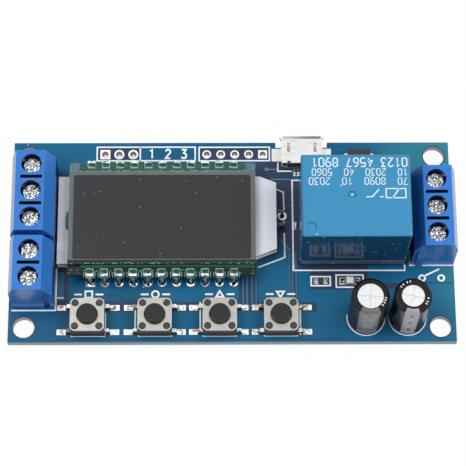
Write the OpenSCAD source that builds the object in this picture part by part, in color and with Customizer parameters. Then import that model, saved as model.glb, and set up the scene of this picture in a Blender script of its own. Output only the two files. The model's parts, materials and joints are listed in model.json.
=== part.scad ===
// Timer relay module: a printed board that carries a segment display with its backlight,
// four push buttons, a sealed relay, three screw terminal blocks, a power socket and capacitors.
// Millimetres. X runs along the board, Y across it, +Z out of its component side.
// The origin is the centre of the four mounting holes, on the board's underside.

/* [Board] */
// Thickness of the board
board_t = 1.6; // [1:0.1:2.4]
// Diameter of the corner mounting holes
hole_d = 3.8; // [3:0.1:4.4]
// From a mounting hole's centre to the two board edges beside it
hole_inset = 2.75; // [2.6:0.05:4]
// Bare board kept between a mounting hole and a terminal block
hole_keepout = 0.5; // [0.3:0.1:2]
// Diameter of the plated holes of the two bare headers
header_hole_d = 1.0; // [0.8:0.05:1.2]
// Hole-to-hole distance of the headers and the display pins
pin_pitch = 2.54; // [2:0.01:2.54]
// From the board's upper edge to the row of header holes
header_inset = 2.3; // [1.5:0.1:3]
// Slack around a pin in its plated hole
pin_hole_clear = 0.15; // [0.1:0.05:0.3]
// Length of the soldered tails under the board
tail_l = 2.2; // [1.9:0.1:3]
// Display, backlight and capacitor tails end this much higher
tail_step = 0.2; // [0.1:0.1:0.8]

/* [Layout] */
// Left terminals, set back from the board's left edge
left_setback = 0.6; // [0:0.1:3]
// Between the left terminals and the backlight
display_gap = 0.3; // [0.2:0.1:3]
// Between the backlight's leads and the relay
relay_gap = 2.85; // [1.5:0.05:8]
// Between the relay and the right terminals
right_gap = 1.0; // [0.5:0.1:5]
// Strip above the display's upper pin row, where the headers are
header_strip = 5.35; // [4.6:0.05:9]
// Between the display's lower pin row and the buttons
button_gap = 3.95; // [2:0.05:8]
// Between the buttons and the board's lower edge
button_margin = 1.1; // [0.5:0.1:5]
// From the board's left edge to the first button's lead tips
button_inset = 9.2; // [8.5:0.1:14]
// Free board between the lead tips of neighbouring buttons
button_spaces = [2.0, 1.6, 0.95]; // [0.5:0.05:3]
// Number of holes in each header
header_counts = [3, 5]; // [1:1:5]
// First hole of each header, right of the glass's left edge
header_offsets = [6.05, 24.5]; // [1:0.05:25]
// Middle of the left terminals, above the middle of the board
left_term_y = 0.4; // [0:0.1:1]
// Middle of the right terminals, above the middle of the board
right_term_y = 2.9; // [-2:0.1:5]
// Middle of the relay, above the middle of the board
relay_y = 2.7; // [1:0.1:3]

/* [Terminal blocks] */
// Distance between neighbouring ways
term_pitch = 5.0; // [4.8:0.02:5.6]
// Depth of a housing, from its wire side to its back
term_depth = 7.6; // [7.4:0.1:10]
// From the wire side to the screw axis
screw_u = 3.6; // [3.5:0.05:3.7]
// Diameter of a screw well
well_d = 3.6; // [3.2:0.1:3.8]
// Flat top: where it starts, from the wire side
top_u0 = 0.85; // [0.4:0.05:1.2]
// Flat top: its width
top_w = 5.05; // [4.9:0.05:5.4]
// Height of the sloped edge on the wire side
front_drop = 2.8; // [0.5:0.1:3.5]
// Height of the sloped edge at the back
back_drop = 3.3; // [1:0.1:4]
// Wall left between neighbouring clamp chambers
chamber_wall = 1.0; // [0.9:0.05:1.2]
// Thickness of a housing's floor
term_floor = 0.8; // [0.5:0.1:1.5]
// Thickness of the shoulder under a screw head
shoulder_t = 0.5; // [0.4:0.1:1]
// Height of a wire mouth
mouth_h = 4.0; // [3:0.1:4.4]
// Width of the bevel around a wire mouth
mouth_bevel = 0.4; // [0.2:0.05:0.45]
// Length of the slot between two screw wells
slot_l = 3.9; // [3:0.1:4.6]
// Width of the slot between two screw wells
slot_w = 0.65; // [0.4:0.05:0.8]
// Depth of the slot between two screw wells
slot_depth = 2.2; // [1:0.1:2.3]
// How far a dovetail tongue stands out of a housing's end
tongue_out = 0.4; // [0.3:0.05:0.9]
// Width of a dovetail tongue at its root
tongue_root = 0.8; // [0.6:0.05:1]
// Width of a dovetail tongue at its tip
tongue_tip = 1.2; // [1.1:0.05:1.4]
// From a housing's back to its dovetail
tongue_inset = 0.7; // [0.5:0.05:0.9]
// Height of the slope on top of a dovetail tongue
tongue_slope = 1.2; // [0.4:0.1:2]
// Wall left between a dovetail groove and the sloped edge over it
groove_roof = 0.5; // [0.3:0.05:1]
// Wire mouth narrower than the clamp chamber, on each side
mouth_step = 0.1; // [0.05:0.05:0.3]
// Free space past the tongue, between the two left housings
block_clear = 0.6; // [0.2:0.1:3]

/* [Terminal clamps] */
// Depth of a screw head below the top of the housing
screw_sink = 1.4; // [0.5:0.1:2.5]
// Thickness of a screw head
head_t = 1.1; // [0.8:0.1:1.6]
// Bevel of a screw head
head_bevel = 0.3; // [0.1:0.05:0.4]
// Diameter of a screw's thread
thread_d = 2.4; // [2:0.05:2.6]
// Rise of the clamp cage for one turn of the screw
thread_pitch = 0.5; // [0.35:0.05:0.6]
// Turns of the screw from open to closed
screw_turns = 3; // [2:0.5:3]
// Running clearance around a screw
run_clear = 0.08; // [0.05:0.01:0.1]
// Width of the screwdriver slots
driver_slot_w = 0.6; // [0.4:0.05:0.8]
// Depth of the screwdriver slots
driver_slot_depth = 0.6; // [0.4:0.05:0.7]
// Clearance of a clamp cage in its chamber
cage_clear = 0.12; // [0.08:0.01:0.2]
// Length of a clamp cage along the wire
cage_l = 4.0; // [3.6:0.1:4.1]
// Side wall of a clamp cage
cage_wall = 0.45; // [0.3:0.05:0.5]
// Bar of a clamp cage under the wire
bar_t = 0.6; // [0.4:0.05:1]
// Threaded top of a clamp cage
plate_t = 1.0; // [0.8:0.05:1.4]
// Room for the wire in an open clamp
wire_room = 2.3; // [2.1:0.05:3]
// Thickness of a contact's tongue and leg
contact_t = 0.5; // [0.4:0.05:0.6]
// Width of a contact's leg
leg_w = 1.0; // [0.8:0.05:1.2]
// Between the clamp chamber and the contact's leg
leg_gap = 0.2; // [0.15:0.05:0.3]

/* [Display] */
// Width of the display glass
glass_w = 33.2; // [30:0.1:40]
// Distance between the two rows of display pins
row_span = 21.6; // [20:0.1:26]
// Thickness of one glass plate
glass_t = 0.8; // [0.5:0.05:1.1]
// Bare ledge of the rear glass above and below the front glass
ledge = 1.85; // [1.3:0.05:2.5]
// Polarizer: thickness
film_t = 0.2; // [0.1:0.05:0.3]
// Polarizer: set back from the front glass, at the sides and at the top
film_inset = 0.9; // [0.4:0.05:1.5]
// Polarizer: corner radius
film_r = 0.4; // [0.2:0.1:1]
// Number of pins in one row
row_pins = 11; // [4:1:11]
// Sheet thickness of the clip pins
pin_t = 0.25; // [0.2:0.01:0.3]
// Width of a pin's clip
clip_w = 1.4; // [0.8:0.1:1.6]
// Length of a clip's jaws over the glass
clip_jaw = 1.0; // [0.6:0.05:1.2]
// Width of a pin's leg
pin_w = 0.5; // [0.4:0.05:0.6]
// Clearance between a clip and the glass
clip_clear = 0.03; // [0.02:0.01:0.06]

/* [Backlight] */
// Height of the backlight, across the board
backlight_h = 16.6; // [14:0.1:17]
// Backlight left of the glass
backlight_tab = 2.0; // [1:0.1:4]
// Backlight right of the glass
backlight_tail = 3.75; // [2:0.05:6]
// Width of the narrow end at the tail
tail_w = 12.6; // [8:0.1:13]
// Middle of the narrow end, above the middle of the glass
tail_shift = 0.8; // [0:0.1:1]
// Rise of the tapered sides for one millimetre of length
tail_slope = 0.4; // [0.3:0.02:0.8]
// Floor of the white tray
tray_t = 0.8; // [0.5:0.05:1.2]
// Width and height of the tray's rim
tray_rim = 0.5; // [0.3:0.05:0.7]
// Thickness of the light guide
guide_t = 1.9; // [1.2:0.05:3]
// Thickness of the diffuser
diffuser_t = 0.3; // [0.1:0.05:0.5]
// Clearance between the guide and the tray's rim
guide_clear = 0.05; // [0.03:0.01:0.2]
// From the tail's end to the lead's hole
lead_out = 1.1; // [0.7:0.05:2]
// Width and thickness of the backlight's leads
lead_w = 0.5; // [0.4:0.05:0.6]

/* [Buttons] */
// Side of the square base and cover
button_w = 6.0; // [5.8:0.1:7.5]
// Height of the base
base_h = 3.1; // [2.9:0.05:4]
// Corner radius of the base
base_r = 0.3; // [0.1:0.05:0.5]
// Floor of the base, under the dome
base_floor = 0.9; // [0.7:0.05:1]
// Diameter of the well in the base
base_well_d = 4.6; // [4.5:0.05:4.8]
// Thickness of the steel cover
cover_t = 0.3; // [0.2:0.05:0.5]
// Corner radius of the cover
cover_r = 0.9; // [0.3:0.05:1]
// Diameter of the plunger
plunger_d = 3.5; // [2.5:0.1:3.8]
// Plunger above the cover
plunger_out = 1.0; // [0.6:0.05:3]
// Bevel of the plunger's top
plunger_bevel = 0.2; // [0.1:0.05:0.3]
// Diameter of the nub under the plunger
nub_d = 1.6; // [1:0.1:2]
// Thickness of the plunger's flange
flange_t = 0.7; // [0.5:0.05:0.8]
// Clearance around the plunger
plunger_clear = 0.1; // [0.08:0.01:0.15]
// Height of the snap dome
dome_h = 0.35; // [0.3:0.01:0.4]
// Thickness of the snap dome
dome_t = 0.1; // [0.08:0.01:0.15]
// Between the dome's rim and the well's wall
dome_gap = 0.3; // [0.2:0.05:0.4]
// Diameter of the rivets that hold the cover
rivet_d = 1.1; // [0.8:0.05:1.1]
// From the button's centre to a rivet, along X and along Y
rivet_offset = 2.12; // [2.05:0.01:2.2]
// Rivet heads above the cover
rivet_out = 0.12; // [0.05:0.01:0.3]
// Leads past the base
lead_reach = 1.9; // [1.5:0.05:2.5]
// From the button's centre to a lead, along Y
lead_offset = 2.25; // [1.8:0.05:2.3]
// Width of a lead
button_lead_w = 0.7; // [0.5:0.05:0.9]
// Sheet thickness of a lead
button_lead_t = 0.2; // [0.15:0.01:0.3]

/* [Relay] */
// Length of the relay, along the board
relay_l = 19.0; // [18.5:0.1:22]
// Width of the relay, across the board
relay_w = 15.2; // [15:0.1:17]
// Height of the relay above the board
relay_h = 15.4; // [14.8:0.1:18]
// Wall of the relay's cover
relay_wall = 0.9; // [0.7:0.05:1]
// Radius of the cover's edges
relay_r = 0.5; // [0.3:0.05:0.6]
// Height of the base's flange, below the cover
relay_flange = 1.0; // [0.6:0.1:1.5]
// Height of the base's plug, inside the cover
relay_plug = 1.0; // [0.6:0.1:1.2]
// Clearance between the cover and the base's plug
plug_clear = 0.08; // [0.05:0.01:0.15]
// Base's flange set in from the cover, on each side
relay_step = 0.2; // [0.1:0.05:0.4]
// Diameter of the moulding dimple in the cover
dimple_d = 1.2; // [0.6:0.1:2]
// From the cover's left end to the dimple
dimple_u = 8.75; // [6:0.05:12]
// Diameter of the ejector mark in the cover
mark_d = 1.8; // [1:0.1:2.2]
// From the cover's two sides to the ejector mark
mark_inset = 1.6; // [1.4:0.1:2.5]
// Depth of the dimple and the mark
mark_depth = 0.12; // [0.05:0.01:0.3]
// Width of the yoke
yoke_w = 8.0; // [6:0.1:9]
// Armature narrower than the yoke, on each side
armature_inset = 0.2; // [0.1:0.05:0.5]
// Thickness of the yoke and the armature
iron_t = 1.2; // [1:0.05:1.3]
// Diameter of the core
core_d = 4.2; // [3.5:0.1:4.4]
// Diameter of the core's pole face
pole_d = 6.0; // [5:0.1:6.5]
// Thickness of the core's pole face
pole_t = 0.6; // [0.4:0.05:0.8]
// Between the yoke's leg and the coil
coil_gap = 0.4; // [0.3:0.05:0.6]
// Thickness of the bobbin's flanges and hub
bobbin_t = 0.7; // [0.5:0.05:0.8]
// Diameter of the winding
winding_d = 9.0; // [8.4:0.1:9.2]
// Swing of the armature from open to closed, in degrees
armature_swing = 3.2; // [2:0.1:3.4]
// Clearance at the armature's pivot and closed contacts
pivot_clear = 0.08; // [0.05:0.01:0.1]
// Thickness of the contact strips
strip_t = 0.4; // [0.3:0.05:0.5]
// Width of the contact strips
strip_w = 2.0; // [1.6:0.1:2.4]
// Thickness of the contact blade
blade_t = 0.25; // [0.2:0.05:0.3]
// Free height above the upper fixed contact
contact_headroom = 0.5; // [0.4:0.05:0.8]
// Diameter of a contact rivet
contact_d = 2.0; // [1.6:0.1:2.2]
// Height of a contact rivet
contact_h = 0.4; // [0.3:0.05:0.5]
// Width of a relay pin
relay_pin_w = 0.9; // [0.7:0.05:1]
// From the relay's ends to the outer pins
relay_pin_inset = 2.8; // [2.7:0.05:3]
// From the outer pin to the coil's pins, along the relay
coil_pin_step = 2.0; // [1.8:0.1:2.2]
// From the relay's long centre line to the side pins
relay_pin_y = 5.8; // [5.7:0.05:6]

/* [Capacitors] */
// Diameter of a can
can_d = 6.3; // [5:0.1:8]
// Height of a can above the board
can_h = 12.0; // [9:0.5:16]
// Wall of the sleeve
sleeve_t = 0.12; // [0.08:0.01:0.25]
// Width of the sleeve's turned-in rim at the top
sleeve_rim = 0.8; // [0.4:0.05:1.2]
// Bevel of a can's edges
can_edge = 0.4; // [0.2:0.05:0.6]
// Free height under a can
can_foot = 0.3; // [0.1:0.05:0.5]
// Clearance between a can and its sleeve
sleeve_gap = 0.02; // [0.01:0.01:0.04]
// Middle of the crimp groove, above the board
crimp_z = 1.85; // [1.8:0.05:2.5]
// Half of the crimp groove's width
crimp_w = 0.65; // [0.4:0.05:0.8]
// Depth of the crimp groove
crimp_depth = 0.35; // [0.2:0.05:0.5]
// Distance between the leads
can_lead_pitch = 2.5; // [2:0.1:3]
// Diameter of a lead
can_lead_d = 0.5; // [0.4:0.05:0.6]
// Free board between the two capacitors
can_gap = 0.76; // [0.3:0.02:3]
// Between the capacitors and the board's lower edge
can_margin = 1.2; // [0.5:0.1:4]
// Between the outer capacitor and the board's right edge
can_inset = 5.35; // [5:0.05:8]

/* [Power socket] */
// Width of the socket's shell
usb_w = 7.4; // [7.2:0.1:8]
// Height of the socket's shell
usb_h = 2.5; // [2.4:0.1:3]
// Depth of the socket's shell
usb_l = 4.7; // [4.5:0.1:6]
// Sheet thickness of the shell
usb_t = 0.25; // [0.2:0.01:0.3]
// Shell's mouth past the board's edge, less than zero where it stands back from it
usb_out = -0.3; // [-0.5:0.05:0.4]
// Flare of the lips around the mouth
usb_flare = 0.4; // [0.2:0.05:0.6]
// Bevel at the shell's lower corners
usb_bevel = 0.9; // [0.6:0.05:1]
// Spring slots in the shell: width
usb_slot_w = 0.55; // [0.4:0.05:0.8]
// Spring slots in the shell: length
usb_slot_l = 1.7; // [1:0.1:2]
// Spring slots in the shell: distance between them
usb_slot_span = 4.8; // [4:0.1:5.4]
// Spring slots in the shell: from the mouth to their middle
usb_slot_y = 1.7; // [1.2:0.1:2]
// Socket's centre, right of the relay's left side
usb_shift = 0.8; // [0.2:0.1:6]
// Width of the notch in the board
notch_w = 9.4; // [9.2:0.1:11]
// Depth of the notch in the board
notch_depth = 1.0; // [0.9:0.1:1.2]
// Reach of the shell's solder wings
wing_out = 1.7; // [1:0.1:2]
// Length of the shell's solder wings
wing_l = 2.5; // [1.5:0.1:2.6]
// From the mouth to the shell's solder wings
wing_inset = 1.0; // [0.9:0.1:1.4]
// Back of the insulator: depth
usb_back = 1.9; // [1.5:0.1:2.2]
// Tongue of the insulator: thickness
usb_tongue_t = 0.55; // [0.4:0.05:0.6]
// Tongue of the insulator: set back from the mouth
usb_tongue_inset = 0.8; // [0.5:0.1:1.2]
// Distance between the socket's contacts
usb_pitch = 0.65; // [0.6:0.01:0.68]
// Width of a socket contact
usb_contact_w = 0.3; // [0.2:0.02:0.4]
// Sheet thickness of a socket contact
usb_contact_t = 0.15; // [0.1:0.01:0.2]
// Reach of the socket's contacts behind it
usb_tail = 1.2; // [1:0.1:2]

/* [Small parts] */
// Diode: body length, width and height
diode_size = [4.3, 2.6, 2.1]; // [1.6:0.1:4.6]
// From the board's upper edge to the diode's centre line
diode_inset = 3.4; // [2.5:0.1:5]
// Diode's centre, right of the relay's centre
diode_shift = 1.65; // [0:0.05:4]
// Diode's bent leads: width
diode_lead_w = 1.5; // [1:0.1:1.6]
// Diode's bent leads: sheet thickness
diode_lead_t = 0.15; // [0.1:0.01:0.25]
// Diode's bent leads: reach past the body
diode_lead_out = 0.45; // [0.3:0.05:0.8]
// Chip resistor: length, width and height
resistor_size = [1.6, 0.8, 0.45]; // [0.4:0.05:2]
// Chip light: length, width and height
light_size = [2.0, 1.25, 0.8]; // [0.4:0.05:2.2]
// Metal ends of the resistor and the light
end_cap = 0.35; // [0.1:0.05:0.5]
// From the relay's front to the row of the resistor and the light
chip_row = 2.85; // [1:0.05:3.5]
// Resistor's centre, right of the relay's left side
resistor_shift = 3.85; // [1:0.05:5]
// Light's centre, right of the relay's left side
light_shift = 9.0; // [7:0.05:12]
// Controller chip: body length, width and height
controller_size = [6.5, 4.4, 1.0]; // [0.8:0.1:7]
// Controller: centre, from the middle of the glass
controller_at = [4, -3]; // [-5:0.1:5]
// Regulator: body length, width and height
regulator_size = [4.5, 2.5, 1.5]; // [0.8:0.1:5]
// Regulator: centre, from the middle of the glass
regulator_at = [-9, -2]; // [-9:0.1:5]
// Distance between the regulator's leads
regulator_pitch = 1.5; // [1.2:0.1:1.6]
// Relay driver: body length, width and height
driver_size = [2.9, 1.3, 1.0]; // [0.8:0.1:3]
// Relay driver: below the backlight's leads
driver_drop = 6.0; // [4:0.1:7]
// Distance between the driver's leads
driver_pitch = 1.9; // [1.6:0.1:2]
// Leads of the chips: width and sheet thickness
chip_lead = [0.25, 0.15]; // [0.1:0.01:0.3]
// Distance between the controller's leads
controller_pitch = 0.65; // [0.5:0.01:0.65]
// Reach of the chips' leads past their bodies
chip_reach = 1.0; // [0.6:0.05:1.2]
// Free height under the bodies of the chips and the diode
chip_standoff = 0.1; // [0.05:0.01:0.2]
// Lean of the chips' sides
chip_lean = 0.06; // [0.02:0.01:0.1]
// Clearance between a pin and its solder
solder_clear = 0.03; // [0.01:0.01:0.05]
// Solder left around a pin at the tip of a cone
solder_tip = 0.2; // [0.1:0.01:0.25]
// Radius of the soldered cones at the board
solder_r = 0.85; // [0.75:0.05:1]
// Height of the soldered cones
solder_h = 0.9; // [0.5:0.05:1.2]

/* [Hidden] */
$fn = 48;
cut = 0.5;
sliver = 0.01;
short_tail = tail_l - tail_step;

// Clamp heights, from the board up
bar_z = term_floor + cage_clear;
wire_z = bar_z + bar_t;
tongue_z = wire_z + wire_room;
plate_z = tongue_z + contact_t + cage_clear;
cage_rise = screw_turns * thread_pitch;
chamber_z = plate_z + plate_t + cage_rise + cage_clear;
seat_z = chamber_z + shoulder_t;
head_z = seat_z + run_clear / 2;
term_h = head_z + head_t + screw_sink;
dovetail_u = term_depth - tongue_tip / 2 - tongue_inset;
back_slope = back_drop / (term_depth - top_u0 - top_w);
groove_h = term_h - back_slope * (dovetail_u + tongue_tip / 2 + run_clear - top_u0 - top_w) - groove_roof;
head_d = well_d - 2 * run_clear;
chamber_w = term_pitch - chamber_wall;
cage_w = chamber_w - 2 * cage_clear;
chamber_u0 = screw_u - cage_l / 2 - cage_clear;
chamber_u1 = screw_u + cage_l / 2 + cage_clear;
leg_u = chamber_u1 + leg_gap;
tongue_w = cage_w - 2 * cage_wall - 4 * cage_clear;

// Layout along X
board_w = left_setback + term_depth + display_gap + backlight_tab + glass_w + backlight_tail
    + lead_out + relay_gap + relay_l + right_gap + term_depth;
left_x = -board_w / 2;
right_x = board_w / 2;
left_face_x = left_x + left_setback;
backlight_x0 = left_face_x + term_depth + display_gap;
glass_x0 = backlight_x0 + backlight_tab;
glass_x1 = glass_x0 + glass_w;
backlight_x1 = glass_x1 + backlight_tail;
backlight_lead_x = backlight_x1 + lead_out;
relay_x0 = backlight_lead_x + relay_gap;
glass_x = (glass_x0 + glass_x1) / 2;
lead_span = button_w + 2 * lead_reach;

// Layout along Y
left_terms_l = 5 * term_pitch + tongue_out + block_clear;
board_h = max(button_margin + button_w + button_gap + row_span + header_strip,
    left_terms_l + 2 * (hole_inset + hole_d / 2 + hole_keepout + tongue_out));
low_y = -board_h / 2;
high_y = board_h / 2;
button_y = low_y + button_margin + button_w / 2;
glass_y = button_y + button_w / 2 + button_gap + row_span / 2;
can_y = low_y + can_margin + can_d / 2 + sleeve_t;
chip_y = relay_y - relay_w / 2 - chip_row;

// Display heights
tray_z = board_t;
guide_z = tray_z + tray_t;
diffuser_z = guide_z + guide_t;
glass_z = diffuser_z + diffuser_t;
rear_h = row_span - pin_t - 2 * clip_clear;
front_h = rear_h - 2 * ledge;

// Terminal blocks: wire side, middle, turn and number of ways
blocks = [
    [left_face_x, left_term_y + left_terms_l / 2 - 1.5 * term_pitch, 0, 3],
    [left_face_x, left_term_y - left_terms_l / 2 + term_pitch, 0, 2],
    [right_x, right_term_y, 180, 3]
];
// Each clamp's block and its way in that block
clamps = [for (b = [0:2]) for (w = [0:blocks[b][3] - 1]) [b, w]];
function way_v(b, w) = (w - (blocks[b][3] - 1) / 2) * term_pitch;

// Buttons along X
function button_x(i) = i == 0
    ? left_x + button_inset + lead_span / 2
    : button_x(i - 1) + lead_span + button_spaces[i - 1];
button_xs = [for (i = [0:3]) button_x(i)];

// Capacitors
can_r = can_d / 2;
can_top = can_h - sleeve_t;
sleeve_d = can_d + 2 * sleeve_t;
can_x2 = right_x - can_inset - sleeve_d / 2;
can_xs = [can_x2 - sleeve_d - can_gap, can_x2];

// Power socket's tongue, at the middle of the shell
usb_tongue_z = (usb_h - usb_tongue_t) / 2 + usb_t;

// Relay, from its left end and the board up
relay_x = relay_x0 + relay_l / 2;
relay_top = relay_h - relay_wall;
yoke_z = relay_flange + relay_plug;
yoke_u = relay_pin_inset - iron_t / 2;
coil_u = yoke_u + iron_t + coil_gap + winding_d / 2 + bobbin_t / 2;
tip_u = relay_l - relay_pin_inset;
swing_rise = (tip_u - yoke_u) * sin(armature_swing);
contacts_room = 3 * contact_h + blade_t + swing_rise + strip_t + contact_headroom;
pivot_z = relay_top - contacts_room - iron_t - pivot_clear;
coil_z0 = yoke_z + iron_t;
coil_z1 = pivot_z - pole_t;

// Shared shapes

// Rectangle with round corners, centred
module round_rect(w, h, r) {
    square([w - 2 * r, h], center = true);
    square([w, h - 2 * r], center = true);
    for (sx = [-1, 1], sy = [-1, 1])
        translate([sx * (w / 2 - r), sy * (h / 2 - r)]) circle(r);
}

// Extrudes a drawing of (x, z) along Y, centred on Y
module along_y(l) {
    rotate([90, 0, 0]) linear_extrude(l, center = true) children();
}

// Extrudes a drawing of (y, z) along X, centred on X
module along_x(l) {
    rotate([90, 0, 90]) linear_extrude(l, center = true) children();
}

// Block centred in plan, standing on z = 0
module block(size) {
    translate([0, 0, size[2] / 2]) cube(size, center = true);
}

// Moves a drawing to a terminal block's wire side, on top of the board
module at_block(b) {
    translate([blocks[b][0], blocks[b][1], board_t]) rotate(blocks[b][2]) children();
}

// Moves a drawing to one clamp's screw axis
module at_clamp(i) {
    at_block(clamps[i][0]) translate([screw_u, way_v(clamps[i][0], clamps[i][1]), 0]) children();
}

// Places of all soldered pins, as groups of [x, y, half diagonal]
function block_pins(b) = [
    for (w = [0:blocks[b][3] - 1])
        let (side = blocks[b][2] == 0 ? 1 : -1)
        [
            blocks[b][0] + side * (leg_u + contact_t / 2), blocks[b][1] + side * way_v(b, w),
            norm([leg_w, contact_t]) / 2
        ]
];
row_xs = [for (i = [0:row_pins - 1]) glass_x + (i - (row_pins - 1) / 2) * pin_pitch];
lcd_pin_places = [
    for (s = [-1, 1]) for (x = row_xs) [x, glass_y + s * row_span / 2, norm([pin_w, pin_t]) / 2]
];
backlight_lead_places = [
    for (s = [-1, 1])
        [backlight_lead_x, glass_y + tail_shift + s * pin_pitch / 2, norm([lead_w, lead_w]) / 2]
];
coil_pin_u = relay_pin_inset + coil_pin_step;
// Relay pins from its left end: common, two coil pins, two contacts
relay_pin_us = [
    [relay_pin_inset, 0], [coil_pin_u, -relay_pin_y], [coil_pin_u, relay_pin_y],
    [tip_u, -relay_pin_y], [tip_u, relay_pin_y]
];
relay_pin_places = [
    for (p = relay_pin_us) [relay_x0 + p[0], relay_y + p[1], norm([relay_pin_w, strip_t]) / 2]
];
can_lead_places = [
    for (x = can_xs) for (s = [-1, 1]) [x + s * can_lead_pitch / 2, can_y, can_lead_d / 2]
];
soldered_pins = concat(
    block_pins(0), block_pins(1), block_pins(2), lcd_pin_places, backlight_lead_places,
    relay_pin_places, can_lead_places
);

// Board

module board() {
    color("steelblue") difference() {
        translate([left_x, low_y, 0]) cube([board_w, board_h, board_t]);
        for (sx = [-1, 1], sy = [-1, 1])
            translate([sx * (board_w / 2 - hole_inset), sy * (board_h / 2 - hole_inset), -cut])
                cylinder(d = hole_d, h = board_t + 2 * cut);
        translate([relay_x0 + usb_shift, high_y, board_t / 2])
            cube([notch_w, 2 * notch_depth, board_t + 2 * cut], center = true);
        for (p = soldered_pins)
            translate([p[0], p[1], -cut]) cylinder(r = p[2] + pin_hole_clear, h = board_t + 2 * cut);
        for (h = [0, 1], i = [0:header_counts[h] - 1])
            translate([glass_x0 + header_offsets[h] + i * pin_pitch, high_y - header_inset, -cut])
                cylinder(d = header_hole_d, h = board_t + 2 * cut);
    }
}

// Terminal blocks, drawn from the wire side (x = 0) towards the back, with y along the row

module housing_profile() {
    polygon([
        [0, 0], [term_depth, 0], [term_depth, term_h - back_drop], [top_u0 + top_w, term_h],
        [top_u0, term_h], [0, term_h - front_drop]
    ]);
}

// Dovetail in plan, widening away from y = 0
module dovetail(root, tip, out) {
    polygon([[-root / 2, 0], [root / 2, 0], [tip / 2, out], [-tip / 2, out]]);
}

// Tongue on a housing's end, with a top that slopes away from the housing
module dovetail_tongue() {
    h = groove_h - run_clear;
    intersection() {
        linear_extrude(h) dovetail(tongue_root, tongue_tip, tongue_out);
        along_x(2 * tongue_tip)
            polygon([[0, 0], [tongue_out, 0], [tongue_out, h - tongue_slope], [0, h]]);
    }
}

// Wire mouth with a bevelled edge
module wire_mouth() {
    w = chamber_w - 2 * mouth_step;
    b = mouth_bevel;
    translate([-cut, -w / 2, term_floor]) cube([chamber_u0 + 2 * cut, w, mouth_h]);
    intersection() {
        linear_extrude(term_h)
            polygon([[-cut, -w / 2 - b - cut], [b, -w / 2], [b, w / 2], [-cut, w / 2 + b + cut]]);
        along_y(term_pitch)
            polygon([
                [-cut, term_floor - b - cut], [b, term_floor], [b, term_floor + mouth_h],
                [-cut, term_floor + mouth_h + b + cut]
            ]);
    }
}

// Room for one clamp: screw well, shoulder hole, cage chamber, wire mouth and contact slot
module clamp_room() {
    translate([screw_u, 0, seat_z]) cylinder(d = well_d, h = term_h);
    translate([screw_u, 0, chamber_z - cut])
        cylinder(d = thread_d + 2 * run_clear, h = shoulder_t + 2 * cut);
    translate([chamber_u0, -chamber_w / 2, term_floor])
        cube([chamber_u1 - chamber_u0, chamber_w, chamber_z - term_floor]);
    wire_mouth();
    slot = contact_t + 2 * run_clear;
    translate([chamber_u1 - cut, -tongue_w / 2 - run_clear, tongue_z - run_clear])
        cube([leg_u + contact_t + run_clear - chamber_u1 + cut, tongue_w + 2 * run_clear, slot]);
    translate([leg_u - run_clear, -leg_w / 2 - run_clear, -cut])
        cube([slot, leg_w + 2 * run_clear, tongue_z + cut]);
}

module terminal_housing(b) {
    ways = blocks[b][3];
    l = ways * term_pitch;
    color("royalblue") at_block(b) difference() {
        union() {
            along_y(l) housing_profile();
            translate([dovetail_u, l / 2, 0]) dovetail_tongue();
        }
        translate([dovetail_u, -l / 2 - sliver, -cut])
            linear_extrude(groove_h + cut)
                dovetail(tongue_root + 2 * run_clear, tongue_tip + 2 * run_clear, tongue_out + run_clear);
        for (w = [0:ways - 1]) translate([0, way_v(b, w), 0]) clamp_room();
        for (w = [0:ways - 2])
            translate([screw_u, way_v(b, w) + term_pitch / 2, term_h])
                cube([slot_l, slot_w, 2 * slot_depth], center = true);
    }
}

module terminal_screw(i) {
    r = head_d / 2;
    top = head_z + head_t;
    color("gainsboro") at_clamp(i) difference() {
        union() {
            rotate_extrude()
                polygon([[0, head_z], [r, head_z], [r, top - head_bevel], [r - head_bevel, top], [0, top]]);
            translate([0, 0, tongue_z + contact_t + run_clear])
                cylinder(d = thread_d, h = head_z - tongue_z - contact_t);
        }
        for (a = [45, 135])
            rotate(a) translate([0, 0, top])
                cube([head_d + cut, driver_slot_w, 2 * driver_slot_depth], center = true);
    }
}

module terminal_cage(i) {
    color("silver") at_clamp(i) difference() {
        translate([0, 0, bar_z]) block([cage_l, cage_w, plate_z + plate_t - bar_z]);
        translate([0, 0, wire_z]) block([cage_l + cut, cage_w - 2 * cage_wall, plate_z - wire_z]);
        translate([0, 0, plate_z - cut]) cylinder(d = thread_d + 2 * run_clear, h = plate_t + 2 * cut);
    }
}

// Brass angle in each clamp: a tongue over the wire, a leg behind the cage and the soldered tail
module terminal_contacts() {
    front = cage_clear - cage_l / 2;
    back = leg_u + contact_t - screw_u;
    color("goldenrod") for (i = [0:7]) at_clamp(i) {
        translate([front, -tongue_w / 2, tongue_z]) cube([back - front, tongue_w, contact_t]);
        translate([back - contact_t, -leg_w / 2, -board_t - tail_l])
            cube([contact_t, leg_w, tongue_z + board_t + tail_l + contact_t / 2]);
    }
}

// Display

module lcd_rear_glass() {
    color("lightcyan") translate([glass_x, glass_y, glass_z]) block([glass_w, rear_h, glass_t]);
}

module lcd_front_glass() {
    color("lightcyan") translate([glass_x, glass_y, glass_z + glass_t]) block([glass_w, front_h, glass_t]);
}

module lcd_polarizer() {
    color("dimgray") translate([glass_x, glass_y, glass_z + 2 * glass_t])
        linear_extrude(film_t) round_rect(glass_w - 2 * film_inset, front_h - 2 * film_inset, film_r);
}

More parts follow.
